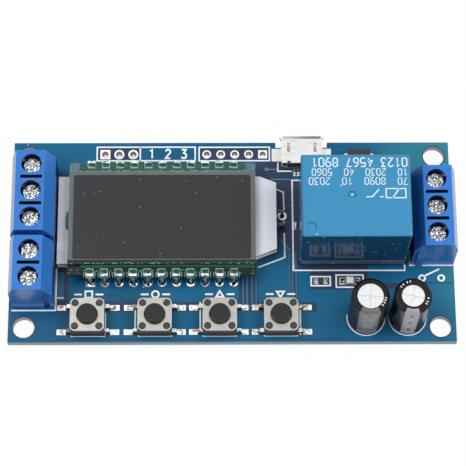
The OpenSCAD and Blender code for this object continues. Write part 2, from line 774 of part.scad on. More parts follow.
// One clip pin, drawn as (y, z) with the glass towards +y and the leg on y = 0
module clip_pin() {
    low = glass_z - clip_clear - pin_t;
    high = glass_z + glass_t + clip_clear;
    inner = pin_t / 2;
    along_x(clip_w)
        polygon([
            [-inner, low], [clip_jaw, low], [clip_jaw, low + pin_t], [inner, low + pin_t],
            [inner, high], [clip_jaw, high], [clip_jaw, high + pin_t], [-inner, high + pin_t]
        ]);
    translate([0, 0, -short_tail]) block([pin_w, pin_t, low + pin_t / 2 + short_tail]);
}

module lcd_pins() {
    color("gainsboro") for (s = [-1, 1], x = row_xs)
        translate([x, glass_y + s * row_span / 2, 0]) rotate(s > 0 ? 180 : 0) clip_pin();
}

// Outline of the backlight in plan, shrunk by d
module backlight_outline(d) {
    h = backlight_h / 2 - d;
    x1 = backlight_x1 - d;
    hi = tail_shift + tail_w / 2 - d;
    lo = tail_shift - tail_w / 2 + d;
    translate([0, glass_y])
        polygon([
            [backlight_x0 + d, -h], [x1 - (h + lo) / tail_slope, -h], [x1, lo],
            [x1, hi], [x1 - (h - hi) / tail_slope, h], [backlight_x0 + d, h]
        ]);
}

module backlight_tray() {
    color("white") translate([0, 0, tray_z]) difference() {
        linear_extrude(tray_t + tray_rim) backlight_outline(0);
        translate([0, 0, tray_t]) linear_extrude(tray_rim + cut) backlight_outline(tray_rim);
    }
}

module backlight_guide() {
    color("whitesmoke") translate([0, 0, guide_z])
        linear_extrude(guide_t) backlight_outline(tray_rim + guide_clear);
}

module backlight_diffuser() {
    color("lightgray") translate([0, 0, diffuser_z]) linear_extrude(diffuser_t) backlight_outline(0);
}

module backlight_leads() {
    lead_z = guide_z + guide_t / 2;
    color("silver") for (p = backlight_lead_places) translate([p[0], p[1], 0]) {
        translate([-lead_w / 2, -lead_w / 2, -short_tail])
            cube([lead_w, lead_w, lead_z + lead_w / 2 + short_tail]);
        translate([-lead_out - tray_rim - guide_clear, -lead_w / 2, lead_z - lead_w / 2])
            cube([lead_out + tray_rim + guide_clear, lead_w, lead_w]);
    }
}

// Buttons

module at_button(i) {
    translate([button_xs[i], button_y, board_t]) children();
}

// Places of the four rivets of a button
module at_rivets() {
    for (sx = [-1, 1], sy = [-1, 1]) translate([sx * rivet_offset, sy * rivet_offset, 0]) children();
}

module button_base() {
    difference() {
        linear_extrude(base_h) round_rect(button_w, button_w, base_r);
        translate([0, 0, base_floor]) cylinder(d = base_well_d, h = base_h);
    }
    translate([0, 0, base_h]) at_rivets() cylinder(d = rivet_d, h = cover_t + rivet_out);
}

module button_bases() {
    color("dimgray") for (i = [0:3]) at_button(i) button_base();
}

module button_cover() {
    translate([0, 0, base_h]) difference() {
        linear_extrude(cover_t) round_rect(button_w, button_w, cover_r);
        translate([0, 0, -cut]) cylinder(d = plunger_d + 2 * plunger_clear, h = cover_t + 2 * cut);
        translate([0, 0, -cut]) at_rivets() cylinder(d = rivet_d + 2 * run_clear, h = cover_t + 2 * cut);
    }
}

module button_covers() {
    color("lightgray") for (i = [0:3]) at_button(i) button_cover();
}

// Plunger with a flange held under the cover and a nub that bears on the dome
module button_plunger(i) {
    r = plunger_d / 2;
    flange_r = base_well_d / 2 - plunger_clear;
    flange_z = base_h - run_clear;
    top = base_h + cover_t + plunger_out;
    nub_r = nub_d / 2;
    nub_z = base_floor + dome_h + run_clear;
    color("dimgray") at_button(i) rotate_extrude()
        polygon([
            [0, nub_z], [nub_r, nub_z], [nub_r, flange_z - flange_t], [flange_r, flange_z - flange_t],
            [flange_r, flange_z], [r, flange_z], [r, top - plunger_bevel], [r - plunger_bevel, top],
            [0, top]
        ]);
}

// Snap dome: a shallow cap whose rim stands on the base's floor
module button_dome(i) {
    rim_r = base_well_d / 2 - dome_gap;
    ball_r = (rim_r * rim_r + dome_h * dome_h) / (2 * dome_h);
    color("silver") at_button(i) translate([0, 0, base_floor]) intersection() {
        cylinder(r = rim_r + dome_t, h = dome_h + cut);
        translate([0, 0, dome_h - ball_r]) difference() {
            sphere(ball_r, $fn = 128);
            sphere(ball_r - dome_t, $fn = 128);
        }
    }
}

// Gull-wing lead, drawn as (x, z) with the base's side at x = 0
module button_lead() {
    t = button_lead_t;
    knee_z = base_floor;
    foot = lead_reach * 0.45;
    shoulder = lead_reach * 0.3;
    along_y(button_lead_w)
        polygon([
            [0, knee_z], [shoulder, knee_z], [lead_reach - foot - t, 0], [lead_reach, 0], [lead_reach, t],
            [lead_reach - foot, t], [shoulder + t, knee_z + t], [0, knee_z + t]
        ]);
}

module button_leads() {
    color("silver") for (i = [0:3], sx = [0, 1], sy = [-1, 1])
        at_button(i) rotate(sx * 180) translate([button_w / 2, sy * lead_offset, 0]) button_lead();
}

// Relay, drawn from its left end (x = 0), with y = 0 on its long centre line

module at_relay() {
    translate([relay_x0, relay_y, board_t]) children();
}

// Box with round upright edges and round top edges, standing on z = 0, from x = 0
module soft_box(l, w, h, r) {
    translate([l / 2, 0, 0]) intersection() {
        linear_extrude(h) round_rect(l, w, r);
        along_y(w + cut) translate([0, h / 2 - r]) round_rect(l, h + 2 * r, r);
        along_x(l + cut) translate([0, h / 2 - r]) round_rect(w, h + 2 * r, r);
    }
}

module relay_cover() {
    color("cornflowerblue") at_relay() difference() {
        translate([0, 0, relay_flange]) soft_box(relay_l, relay_w, relay_h - relay_flange, relay_r);
        translate([relay_l / 2, 0, relay_flange - cut])
            block([relay_l - 2 * relay_wall, relay_w - 2 * relay_wall, relay_top - relay_flange + cut]);
        translate([dimple_u, 0, relay_h]) cylinder(d = dimple_d, h = 2 * mark_depth, center = true);
        translate([mark_inset, mark_inset - relay_w / 2, relay_h])
            cylinder(d = mark_d, h = 2 * mark_depth, center = true);
    }
}

module relay_base() {
    plug = relay_wall + plug_clear;
    color("steelblue") at_relay() difference() {
        union() {
            translate([relay_l / 2, 0, 0])
                block([relay_l - 2 * relay_step, relay_w - 2 * relay_step, relay_flange]);
            translate([relay_l / 2, 0, relay_flange])
                block([relay_l - 2 * plug, relay_w - 2 * plug, relay_plug]);
        }
        for (p = relay_pin_us)
            translate([p[0], p[1], -cut])
                block([strip_t + 2 * run_clear, relay_pin_w + 2 * run_clear, yoke_z + 2 * cut]);
    }
}

module relay_bobbin() {
    flange_w = winding_d + bobbin_t;
    ear_u = coil_u - flange_w / 2;
    ear_y = relay_pin_y + relay_pin_w / 2 + strip_t / 2;
    color("ivory") at_relay() difference() {
        union() {
            translate([coil_u, 0, coil_z0]) block([flange_w, flange_w, bobbin_t]);
            translate([coil_u, 0, coil_z1 - bobbin_t]) block([flange_w, flange_w, bobbin_t]);
            translate([coil_u, 0, coil_z0]) cylinder(d = core_d + 2 * bobbin_t, h = coil_z1 - coil_z0);
            translate([ear_u, -ear_y, coil_z0])
                cube([coil_pin_u + strip_t - ear_u, 2 * ear_y, bobbin_t]);
        }
        translate([coil_u, 0, coil_z0 - cut])
            cylinder(d = core_d + 2 * run_clear, h = coil_z1 - coil_z0 + 2 * cut);
        for (s = [-1, 1])
            translate([coil_pin_u, s * relay_pin_y, coil_z0 - cut])
                block([strip_t + run_clear, relay_pin_w + run_clear, bobbin_t + 2 * cut]);
    }
}

module relay_winding() {
    h = coil_z1 - coil_z0 - 2 * bobbin_t - 2 * run_clear;
    color("peru") at_relay() translate([coil_u, 0, coil_z0 + bobbin_t + run_clear]) difference() {
        cylinder(d = winding_d, h = h);
        translate([0, 0, -cut]) cylinder(d = core_d + 2 * bobbin_t + 2 * run_clear, h = h + 2 * cut);
    }
}

// L-shaped iron with its core: foot under the bobbin, leg behind it, pole face on top
module relay_yoke() {
    foot_l = coil_u + core_d / 2 + iron_t / 2 - yoke_u;
    color("gray") at_relay() {
        translate([yoke_u, -yoke_w / 2, yoke_z]) cube([foot_l, yoke_w, iron_t]);
        translate([yoke_u, -yoke_w / 2, yoke_z]) cube([iron_t, yoke_w, pivot_z - yoke_z]);
        translate([coil_u, 0, yoke_z]) cylinder(d = core_d, h = pivot_z - yoke_z);
        translate([coil_u, 0, coil_z1 + run_clear]) cylinder(d = pole_d, h = pivot_z - coil_z1 - run_clear);
    }
}

// Armature and its contact blade, drawn closed, then swung open about the top of the yoke's leg
module relay_armature() {
    armature_w = yoke_w - 2 * armature_inset;
    armature_l = coil_u + pole_d / 2 - yoke_u;
    blade_z = pivot_clear + iron_t;
    reach = tip_u - yoke_u;
    color("lightgray") at_relay() translate([yoke_u, 0, pivot_z]) rotate([0, -armature_swing, 0]) {
        translate([0, -armature_w / 2, pivot_clear]) cube([armature_l, armature_w, iron_t]);
        translate([0, -strip_w, blade_z]) cube([reach + contact_d / 2 + blade_t, 2 * strip_w, blade_t]);
        translate([reach, 0, blade_z - contact_h]) cylinder(d = contact_d, h = 2 * contact_h + blade_t);
    }
}

// Upright strip from a pin to a bar across the relay's middle, which carries a fixed contact
module fixed_contact(side, bar_z, contact_z) {
    translate([tip_u - strip_t / 2, side * relay_pin_y - relay_pin_w / 2, -board_t - tail_l])
        cube([strip_t, relay_pin_w, bar_z + strip_t + board_t + tail_l]);
    translate([tip_u - strip_w / 2, side > 0 ? -contact_d / 2 : -relay_pin_y - relay_pin_w / 2, bar_z])
        cube([strip_w, relay_pin_y + relay_pin_w / 2 + contact_d / 2, strip_t]);
    translate([tip_u, 0, contact_z]) cylinder(d = contact_d, h = contact_h);
}

module relay_pins() {
    tip_z = pivot_z + pivot_clear + iron_t;
    made_z = tip_z - contact_h - pivot_clear - contact_h;
    rest_z = tip_z + blade_t + contact_h + swing_rise + 2 * pivot_clear;
    color("peru") at_relay() {
        translate([relay_pin_inset, 0, -board_t - tail_l])
            block([strip_t, relay_pin_w, yoke_z + board_t + tail_l]);
        for (s = [-1, 1])
            translate([coil_pin_u, s * relay_pin_y, -board_t - tail_l])
                block([strip_t, relay_pin_w, coil_z0 + bobbin_t + board_t + tail_l]);
        fixed_contact(1, made_z - strip_t, made_z);
        fixed_contact(-1, rest_z + contact_h, rest_z);
    }
}

// Capacitors

// Side of a can with its crimp groove, from the foot up, grown by d
function can_side(d) = [
    [can_r + d, can_foot + can_edge], [can_r + d, crimp_z - crimp_w],
    [can_r - crimp_depth + d, crimp_z - crimp_w / 4], [can_r - crimp_depth + d, crimp_z + crimp_w / 4],
    [can_r + d, crimp_z + crimp_w]
];

// Top edge of a can, from the side to the distance x from its axis, grown by d
function can_rim(d, x) = [
    [can_r + d, can_top - can_edge + d], [can_r - can_edge + d, can_top + d], [x, can_top + d]
];

module capacitor_can() {
    foot = [[0, can_foot], [can_r - can_edge, can_foot]];
    rotate_extrude() polygon(concat(foot, can_side(0), can_rim(0, 0)));
    for (s = [-1, 1]) translate([s * can_lead_pitch / 2, 0, -board_t - short_tail])
        cylinder(d = can_lead_d, h = board_t + short_tail + can_foot + sliver);
}

module capacitor_cans() {
    color("silver") for (x = can_xs) translate([x, can_y, board_t]) capacitor_can();
}

module capacitor_sleeve() {
    outer = concat(can_side(sleeve_t), can_rim(sleeve_t, can_r - sleeve_rim));
    inner = concat(can_side(sleeve_gap), can_rim(sleeve_gap, can_r - sleeve_rim));
    rotate_extrude() polygon(concat(outer, [for (i = [len(inner) - 1:-1:0]) inner[i]]));
}

module capacitor_sleeves() {
    color("dimgray") for (x = can_xs) translate([x, can_y, board_t]) capacitor_sleeve();
}

// Power socket, drawn from its back (y = 0) towards its mouth, with x = 0 on its centre line

module at_socket() {
    translate([relay_x0 + usb_shift, high_y + usb_out - usb_l, board_t]) children();
}

// Shell's section as (x, z), shrunk by d on every side
module shell_section(d) {
    w = usb_w / 2;
    b = usb_bevel;
    side_z = b + d * (sqrt(2) - 1);
    low_x = w - b - d * (sqrt(2) - 1);
    polygon([
        [-w + d, usb_h - d], [-w + d, side_z], [-low_x, d], [low_x, d], [w - d, side_z], [w - d, usb_h - d]
    ]);
}

// A lip along X that leans out of the mouth, as a strip of the sheet
module lip(l) {
    rise = usb_flare * 0.7;
    along_x(l) polygon([[0, 0], [usb_flare, rise], [usb_flare, rise + usb_t], [0, usb_t]]);
}

module usb_shell() {
    wing_y = usb_l - wing_l - wing_inset;
    side_lip = usb_h - usb_bevel - 2 * usb_t;
    color("silver") at_socket() {
        difference() {
            translate([0, usb_l / 2, 0]) along_y(usb_l) shell_section(0);
            translate([0, usb_l / 2, 0]) along_y(usb_l + cut) shell_section(usb_t);
            for (s = [-1, 1])
                translate([s * usb_slot_span / 2, usb_l - usb_slot_y, usb_h])
                    cube([usb_slot_w, usb_slot_l, 3 * usb_t], center = true);
        }
        translate([0, usb_l, usb_h - usb_t]) lip(usb_w - 2 * usb_t);
        translate([0, usb_l, usb_t]) mirror([0, 0, 1]) lip(usb_w - 2 * usb_bevel);
        for (s = [0, 1]) mirror([s, 0, 0]) {
            translate([usb_w / 2 - usb_t, usb_l, (usb_h + usb_bevel) / 2]) rotate([0, 90, 0]) lip(side_lip);
            translate([usb_w / 2 - usb_t, wing_y, 0]) cube([usb_t, wing_l, usb_bevel + usb_t]);
            translate([usb_w / 2 - usb_t, wing_y, 0]) cube([wing_out + usb_t, wing_l, usb_t]);
        }
    }
}

module usb_insulator() {
    reach = 2 * usb_pitch + usb_contact_w;
    back_w = usb_w - 2 * usb_bevel - 2 * usb_t;
    tongue_l = usb_l - usb_tongue_inset;
    color("dimgray") at_socket() {
        difference() {
            translate([0, usb_back / 2, usb_t + run_clear])
                block([back_w, usb_back, usb_h - 2 * usb_t - 2 * run_clear]);
            translate([0, usb_back / 2, -cut]) block([2 * reach, usb_back + cut, usb_tongue_z + cut]);
        }
        translate([0, tongue_l / 2, usb_tongue_z]) block([2 * reach, tongue_l, usb_tongue_t]);
    }
}

// Contacts under the tongue, bent down behind the shell to flat tails on the board
module usb_contacts() {
    t = usb_contact_t;
    z = usb_tongue_z - t;
    front = usb_l - usb_tongue_inset;
    bend = usb_tail * 0.6;
    color("goldenrod") at_socket() for (i = [-2:2]) translate([i * usb_pitch, 0, 0])
        along_x(usb_contact_w)
            polygon([
                [front, z], [front, z + t], [-bend, z + t], [-bend, t], [-usb_tail, t], [-usb_tail, 0],
                [t - bend, 0], [t - bend, z]
            ]);
}

// Small parts on the component side

// Moulded body whose sides lean in above and below a seam at its middle
module moulded_body(size, lean) {
    intersection() {
        along_y(size[1] + cut)
            polygon([
                [-size[0] / 2 + lean, 0], [size[0] / 2 - lean, 0], [size[0] / 2, size[2] / 2],
                [size[0] / 2 - lean, size[2]], [-size[0] / 2 + lean, size[2]], [-size[0] / 2, size[2] / 2]
            ]);
        along_x(size[0] + cut)
            polygon([
                [-size[1] / 2 + lean, 0], [size[1] / 2 - lean, 0], [size[1] / 2, size[2] / 2],
                [size[1] / 2 - lean, size[2]], [-size[1] / 2 + lean, size[2]], [-size[1] / 2, size[2] / 2]
            ]);
    }
}

// Strip bent from the body's side down and back under it, as (x, z)
module diode_lead() {
    t = diode_lead_t;
    side = diode_size[0] / 2;
    out = side + diode_lead_out;
    z = diode_size[2] / 2 + chip_standoff;
    root = side - 2 * t;
    along_y(diode_lead_w)
        polygon([
            [root, z], [out, z], [out, 0], [root, 0], [root, chip_standoff + sliver],
            [out - t, chip_standoff + sliver], [out - t, z - t], [root, z - t]
        ]);
}

module flyback_diode() {
    color("dimgray") translate([relay_x + diode_shift, high_y - diode_inset, board_t]) {
        translate([0, 0, chip_standoff]) moulded_body(diode_size, 2 * chip_lean);
        for (a = [0, 180]) rotate(a) diode_lead();
    }
}

// Chip part: ceramic body between two metal ends
module chip_part(size) {
    block([size[0] - 2 * end_cap, size[1], size[2]]);
    for (s = [-1, 1]) translate([s * (size[0] - end_cap) / 2, 0, 0]) block([end_cap, size[1], size[2]]);
}

module chip_resistor() {
    color("black") translate([relay_x0 + resistor_shift, chip_y, board_t]) chip_part(resistor_size);
}

module status_light() {
    color("lightyellow") translate([relay_x0 + light_shift, chip_y, board_t]) {
        chip_part([light_size[0], light_size[1], light_size[2] / 2]);
        translate([0, 0, light_size[2] / 2])
            moulded_body([light_size[0] - 2 * end_cap, light_size[1], light_size[2] / 2], chip_lean);
    }
}

// Small parts on the underside, drawn upside down below z = 0

module underside(x, y) {
    translate([x, y, 0]) mirror([0, 0, 1]) children();
}

// Lead of an underside chip, drawn as (y, z) from the body's side at y = 0
module chip_gull(h, w) {
    t = chip_lead[1];
    knee = chip_reach / 3;
    root = -2 * chip_lean;
    z = chip_standoff + h / 2 - t / 2;
    along_x(w)
        polygon([
            [root, z], [knee, z], [knee, 0], [chip_reach, 0], [chip_reach, t], [knee + t, t],
            [knee + t, z + t], [root, z + t]
        ]);
}

// Chip with leads at the given places along its upper and lower sides
module chip(size, upper, lower, lead_w) {
    translate([0, 0, chip_standoff]) moulded_body(size, chip_lean);
    for (x = upper) translate([x, size[1] / 2, 0]) chip_gull(size[2], lead_w);
    for (x = lower) rotate(180) translate([x, size[1] / 2, 0]) chip_gull(size[2], lead_w);
}

module controller_chip() {
    count = floor(controller_size[0] / controller_pitch);
    xs = [for (i = [0:count - 1]) (i - (count - 1) / 2) * controller_pitch];
    color("dimgray") underside(glass_x + controller_at[0], glass_y + controller_at[1])
        chip(controller_size, xs, xs, chip_lead[0]);
}

module regulator_chip() {
    xs = [for (i = [-1:1]) i * regulator_pitch];
    color("dimgray") underside(glass_x + regulator_at[0], glass_y + regulator_at[1])
        chip(regulator_size, xs, [0], 2 * chip_lead[0]);
}

module driver_chip() {
    color("dimgray") underside(backlight_lead_x, glass_y - driver_drop)
        chip(driver_size, [-driver_pitch / 2, driver_pitch / 2], [0], 1.6 * chip_lead[0]);
}

// A cone of solder round every pin, under the board
module solder_joints() {
    color("gainsboro") for (p = soldered_pins) translate([p[0], p[1], 0]) rotate_extrude() {
        inner = p[2] + solder_clear;
        polygon([
            [inner, 0], [solder_r, 0], [solder_r, -solder_h / 8], [inner + solder_tip, -solder_h],
            [inner, -solder_h]
        ]);
    }
}

board();
for (i = [1:3]) {
    terminal_housing(i - 1);
}
terminal_contacts();
for (i = [1:8]) {
    terminal_screw(i - 1);
    terminal_cage(i - 1);
}
lcd_rear_glass();
lcd_front_glass();
lcd_polarizer();
lcd_pins();
backlight_tray();
backlight_guide();
backlight_diffuser();
backlight_leads();
button_bases();
button_covers();
button_leads();
for (i = [1:4]) {
    button_plunger(i - 1);
    button_dome(i - 1);
}
relay_cover();
relay_base();
relay_bobbin();
relay_winding();
relay_yoke();
relay_armature();
relay_pins();
capacitor_cans();
capacitor_sleeves();
usb_shell();
usb_insulator();
usb_contacts();
flyback_diode();
chip_resistor();
status_light();
controller_chip();
regulator_chip();
driver_chip();
solder_joints();
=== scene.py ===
# %% [markdown]
# # Timer relay module
# A small circuit board that switches a load after a set delay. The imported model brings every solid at
# its real size and place. This lesson dresses it: first the camera and the light, then the finish of
# each material, and last the thin things that the solids leave out, such as copper, print, solder and
# clear resin.

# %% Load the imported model
import json
import math

import bmesh
import bpy
import numpy as np
from mathutils import Matrix, Vector


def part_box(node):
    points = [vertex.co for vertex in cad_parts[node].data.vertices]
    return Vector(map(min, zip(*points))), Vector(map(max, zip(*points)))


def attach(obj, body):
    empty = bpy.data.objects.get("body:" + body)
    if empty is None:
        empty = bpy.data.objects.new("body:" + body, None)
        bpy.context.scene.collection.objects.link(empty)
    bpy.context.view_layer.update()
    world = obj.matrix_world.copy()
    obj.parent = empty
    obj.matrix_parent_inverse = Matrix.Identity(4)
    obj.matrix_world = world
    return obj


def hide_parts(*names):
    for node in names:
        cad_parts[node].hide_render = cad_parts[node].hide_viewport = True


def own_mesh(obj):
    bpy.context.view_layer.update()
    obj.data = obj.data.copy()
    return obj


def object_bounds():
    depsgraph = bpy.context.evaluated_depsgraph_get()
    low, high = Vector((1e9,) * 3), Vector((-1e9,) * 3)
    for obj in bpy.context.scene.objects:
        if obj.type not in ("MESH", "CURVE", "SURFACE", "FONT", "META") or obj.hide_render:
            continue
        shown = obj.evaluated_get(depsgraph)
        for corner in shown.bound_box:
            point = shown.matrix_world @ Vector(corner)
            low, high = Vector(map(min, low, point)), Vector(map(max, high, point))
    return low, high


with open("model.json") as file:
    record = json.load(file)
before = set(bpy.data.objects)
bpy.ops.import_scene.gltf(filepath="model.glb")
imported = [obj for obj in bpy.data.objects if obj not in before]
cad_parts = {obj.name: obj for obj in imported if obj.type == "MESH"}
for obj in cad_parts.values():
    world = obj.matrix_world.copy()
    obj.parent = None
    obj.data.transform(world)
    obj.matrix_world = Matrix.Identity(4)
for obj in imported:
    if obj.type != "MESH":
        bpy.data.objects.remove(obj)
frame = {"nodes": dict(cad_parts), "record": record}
nodes = frame["nodes"]
cad_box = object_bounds()
MM = 0.001
print("loaded", len(nodes), "nodes, box in mm", [round(v / MM, 1) for v in cad_box[1] - cad_box[0]])

# %% [markdown]
# ## Camera
# The photograph looks down steeply on the board, from its button side, through a long lens. The lens,
# the angles and the distance were fitted to corners of the board and of the tall parts, so that each
# piece falls on its own place in the picture. A camera could be aimed with a constraint, but writing
# its three axes keeps the small roll as well.

# %% Camera
IMAGE_PX = 466
FOCAL_PX = 1944.7
SENSOR_MM = 36.0
AZIMUTH_DEG = -1.2335
ELEVATION_DEG = 69.518
ROLL_DEG = 1.0345
TARGET_MM = (0.217, 2.034, 0.0)
DISTANCE_MM = 350.37
NEAREST_MM = 10.0


def camera_axes(azimuth, elevation, roll):
    """Right, up and back axes of a camera that circles the target: back points from the target to the
    lens, and right and up are turned about it by the roll."""
    out = math.cos(elevation)
    back = np.array([math.sin(azimuth) * out, -math.cos(azimuth) * out, math.sin(elevation)])
    level = np.array([math.cos(azimuth), math.sin(azimuth), 0.0])
    steep = np.cross(back, level)
    right = math.cos(roll) * level + math.sin(roll) * steep
    up = math.cos(roll) * steep - math.sin(roll) * level
    return right, up, back


right, up, back = camera_axes(*np.radians([AZIMUTH_DEG, ELEVATION_DEG, ROLL_DEG]))
lens_place = (np.array(TARGET_MM) + back * DISTANCE_MM) * MM
camera = bpy.data.objects.new("camera", bpy.data.cameras.new("camera"))
bpy.context.scene.collection.objects.link(camera)
camera.data.sensor_width = SENSOR_MM
camera.data.lens = SENSOR_MM * FOCAL_PX / IMAGE_PX
camera.data.clip_start = NEAREST_MM * MM
axes_and_place = np.column_stack([right, up, back, lens_place])
camera.matrix_world = Matrix([*axes_and_place.tolist(), (0, 0, 0, 1)])
bpy.context.scene.camera = camera
print("lens", round(camera.data.lens, 1), "mm, from", [round(v, 3) for v in lens_place])

# %% [markdown]
# ## Floor and light
# The board was photographed in soft light from both sides, stronger on the left, and a little from the
# front, on white. Three large lamps give that light, a fourth shows the underside, and a dim sky fills
# the shadows. The white ground is made by colour: for the camera, and in reflections and glass, floor
# and sky read as white, but they light the board no more than a plain room would. From below the floor
# is clear, and it lets the light of the fourth lamp through, so that the underside can be looked at
# too.

# %% Node helpers
def set_inputs(tree, made, inputs):
    """Gives inputs of a node a value or a link each."""
    for key, value in inputs.items():
        if isinstance(value, bpy.types.NodeSocket):
            tree.links.new(value, made.inputs[key])
        else:
            made.inputs[key].default_value = value


def add_node(tree, kind, inputs=None, **properties):
    """Adds a shader node, sets its properties, and then its inputs."""
    made = tree.nodes.new(kind)
    for key, value in properties.items():
        setattr(made, key, value)
    set_inputs(tree, made, inputs or {})
    return made


def math_node(tree, operation, first, second=0.0, third=0.0):
    """The result socket of one arithmetic step on up to three values or sockets."""
    inputs = {0: first, 1: second, 2: third}
    return add_node(tree, "ShaderNodeMath", inputs, operation=operation).outputs[0]


def vector_node(tree, operation, first, second=(0, 0, 0), output="Vector"):
    """The result socket of one arithmetic step on two vectors."""
    inputs = {0: first, 1: second}
    return add_node(tree, "ShaderNodeVectorMath", inputs, operation=operation).outputs[output]


def ramp(tree, value, start=0.0, end=1.0, low=0.0, high=1.0):
    """The result socket of a value carried from one range to another and held at its ends."""
    inputs = {"Value": value, "From Min": start, "From Max": end, "To Min": low, "To Max": high}
    return add_node(tree, "ShaderNodeMapRange", inputs).outputs["Result"]


def mix_colours(tree, share, first, second):
    """The result socket of two colours mixed by a share from 0 to 1."""
    return add_node(tree, "ShaderNodeMix", {0: share, 6: first, 7: second}, data_type="RGBA").outputs[2]


def seen_directly(tree):
    """A mask that is 1 for rays from the camera, from reflections and through glass, and 0 for
    light."""
    path = add_node(tree, "ShaderNodeLightPath").outputs
    mirror = math_node(tree, "MAXIMUM", path["Is Camera Ray"], path["Is Glossy Ray"])
    return math_node(tree, "MAXIMUM", mirror, path["Is Transmission Ray"])


print("node helpers ready")

# %% Sky and lamps
SKY_LIGHT = 0.20
WHITE = (1, 1, 1, 1)
# Each lamp has its place and size in metres and its power in watts.
LAMPS = {
    "lamp_left": ((-0.24, 0.0, 0.48), 0.30, 1.45),
    "lamp_right": ((0.30, 0.01, 0.42), 0.30, 1.2),
    "lamp_front": ((0.30, -0.40, 0.40), 0.35, 1.0),
    "lamp_below": ((0.0, -0.1, -0.5), 0.35, 1.6),
}

scene = bpy.context.scene
scene.view_settings.view_transform = "Standard"
world = bpy.data.worlds.new("studio")
scene.world = world
world.use_nodes = True
sky_tree = world.node_tree
sky_strength = ramp(sky_tree, seen_directly(sky_tree), low=SKY_LIGHT)
set_inputs(sky_tree, sky_tree.nodes["Background"], {"Color": WHITE, "Strength": sky_strength})
for name, (place, size, watts) in LAMPS.items():
    lamp = bpy.data.objects.new(name, bpy.data.lights.new(name, "AREA"))
    scene.collection.objects.link(lamp)
    lamp.data.size = size
    lamp.data.energy = watts
    lamp.location = place
    lamp.rotation_euler = (-Vector(place)).to_track_quat("-Z", "Y").to_euler()
print(len(LAMPS), "lamps and a sky")

# %% Floor
FLOOR_HALF = 0.6
FLOOR_TONE = (0.25, 0.25, 0.25, 1)
FLOOR_SHADE = 0.16
FLOOR_GLOW = 1.14
SQUARE = np.array([(-1, -1), (1, -1), (1, 1), (-1, 1)])

floor_z = cad_box[0].z
floor_mesh = bpy.data.meshes.new("floor")
floor_mesh.from_pydata([(x, y, floor_z) for x, y in (FLOOR_HALF * SQUARE).tolist()], [], [(0, 1, 2, 3)])
floor = bpy.data.objects.new("floor", floor_mesh)
scene.collection.objects.link(floor)
paper = bpy.data.materials.new("white paper")
paper.use_nodes = True
paper_tree = paper.node_tree
paper_tree.nodes.remove(paper_tree.nodes["Principled BSDF"])
matt = add_node(paper_tree, "ShaderNodeBsdfDiffuse", {"Color": FLOOR_TONE})
glow = add_node(paper_tree, "ShaderNodeEmission", {"Color": WHITE, "Strength": FLOOR_GLOW})
glow_share = math_node(paper_tree, "MULTIPLY", seen_directly(paper_tree), 1 - FLOOR_SHADE)
upper_face = add_node(paper_tree, "ShaderNodeMixShader",
                      {0: glow_share, 1: matt.outputs[0], 2: glow.outputs[0]})
behind = add_node(paper_tree, "ShaderNodeNewGeometry").outputs["Backfacing"]
shadow_ray = add_node(paper_tree, "ShaderNodeLightPath").outputs["Is Shadow Ray"]
let_through = math_node(paper_tree, "MAXIMUM", behind, shadow_ray)
clear = add_node(paper_tree, "ShaderNodeBsdfTransparent")
both_faces = {0: let_through, 1: upper_face.outputs[0], 2: clear.outputs[0]}
paper_face = add_node(paper_tree, "ShaderNodeMixShader", both_faces).outputs[0]
paper_tree.links.new(paper_face, paper_tree.nodes["Material Output"].inputs["Surface"])
floor_mesh.materials.append(paper)
print("floor at", round(floor_z / MM, 2), "mm")

# %% [markdown]
# ## Shared effects
# Each effect that several finishes use is one shader group, built once: the fine grain of a moulding
# with an edge colour that paints the highlight on its edges, the streaks of rolled metal, dust, speckled
# facets whose dark tone paints a reflection, and a box that says where a lead ends and a body starts.
# They could be copied into every material, but a group keeps one version of each, and the materials
# only choose its values.

# %% Group helpers
RELIEF_DEPTH = 0.02 * MM
EDGE_SAMPLES = 4
METAL_EDGE = 0.06 * MM


def new_group(name, inputs, outputs):
    """An empty shader group with named sockets: inputs are (name, kind, value), outputs are (name,
    kind)."""
    group = bpy.data.node_groups.new(name, "ShaderNodeTree")
    for label, kind, value in inputs:
        socket = group.interface.new_socket(label, in_out="INPUT", socket_type="NodeSocket" + kind)
        socket.default_value = value
    for label, kind in outputs:
        group.interface.new_socket(label, in_out="OUTPUT", socket_type="NodeSocket" + kind)
    return group, group.nodes.new("NodeGroupInput").outputs, group.nodes.new("NodeGroupOutput").inputs


def own_place(tree):
    """The piece's own coordinates, in metres."""
    return add_node(tree, "ShaderNodeTexCoord").outputs["Object"]


def noise(tree, place, scale, detail):
    """The value of a smooth noise at a place."""
    inputs = {"Vector": place, "Scale": scale, "Detail": detail}
    return add_node(tree, "ShaderNodeTexNoise", inputs).outputs["Fac"]


def drifted(tree, colour, swing, drift):
    """A colour made lighter and darker by a swing about zero, times the drift."""
    level = math_node(tree, "MULTIPLY_ADD", swing, drift, 1.0)
    return add_node(tree, "ShaderNodeHueSaturation", {"Value": level, "Color": colour}).outputs["Color"]


def rounded(tree, radius):
    """The face's direction, averaged over a small radius, so that sharp edges shade as round ones."""
    return add_node(tree, "ShaderNodeBevel", {"Radius": radius}, samples=EDGE_SAMPLES).outputs["Normal"]


def bumped(tree, strength, height, **normal):
    """A direction that leans with the slope of a height."""
    inputs = {"Strength": strength, "Distance": RELIEF_DEPTH, "Height": height, **normal}
    return add_node(tree, "ShaderNodeBump", inputs).outputs["Normal"]


print("group helpers ready")


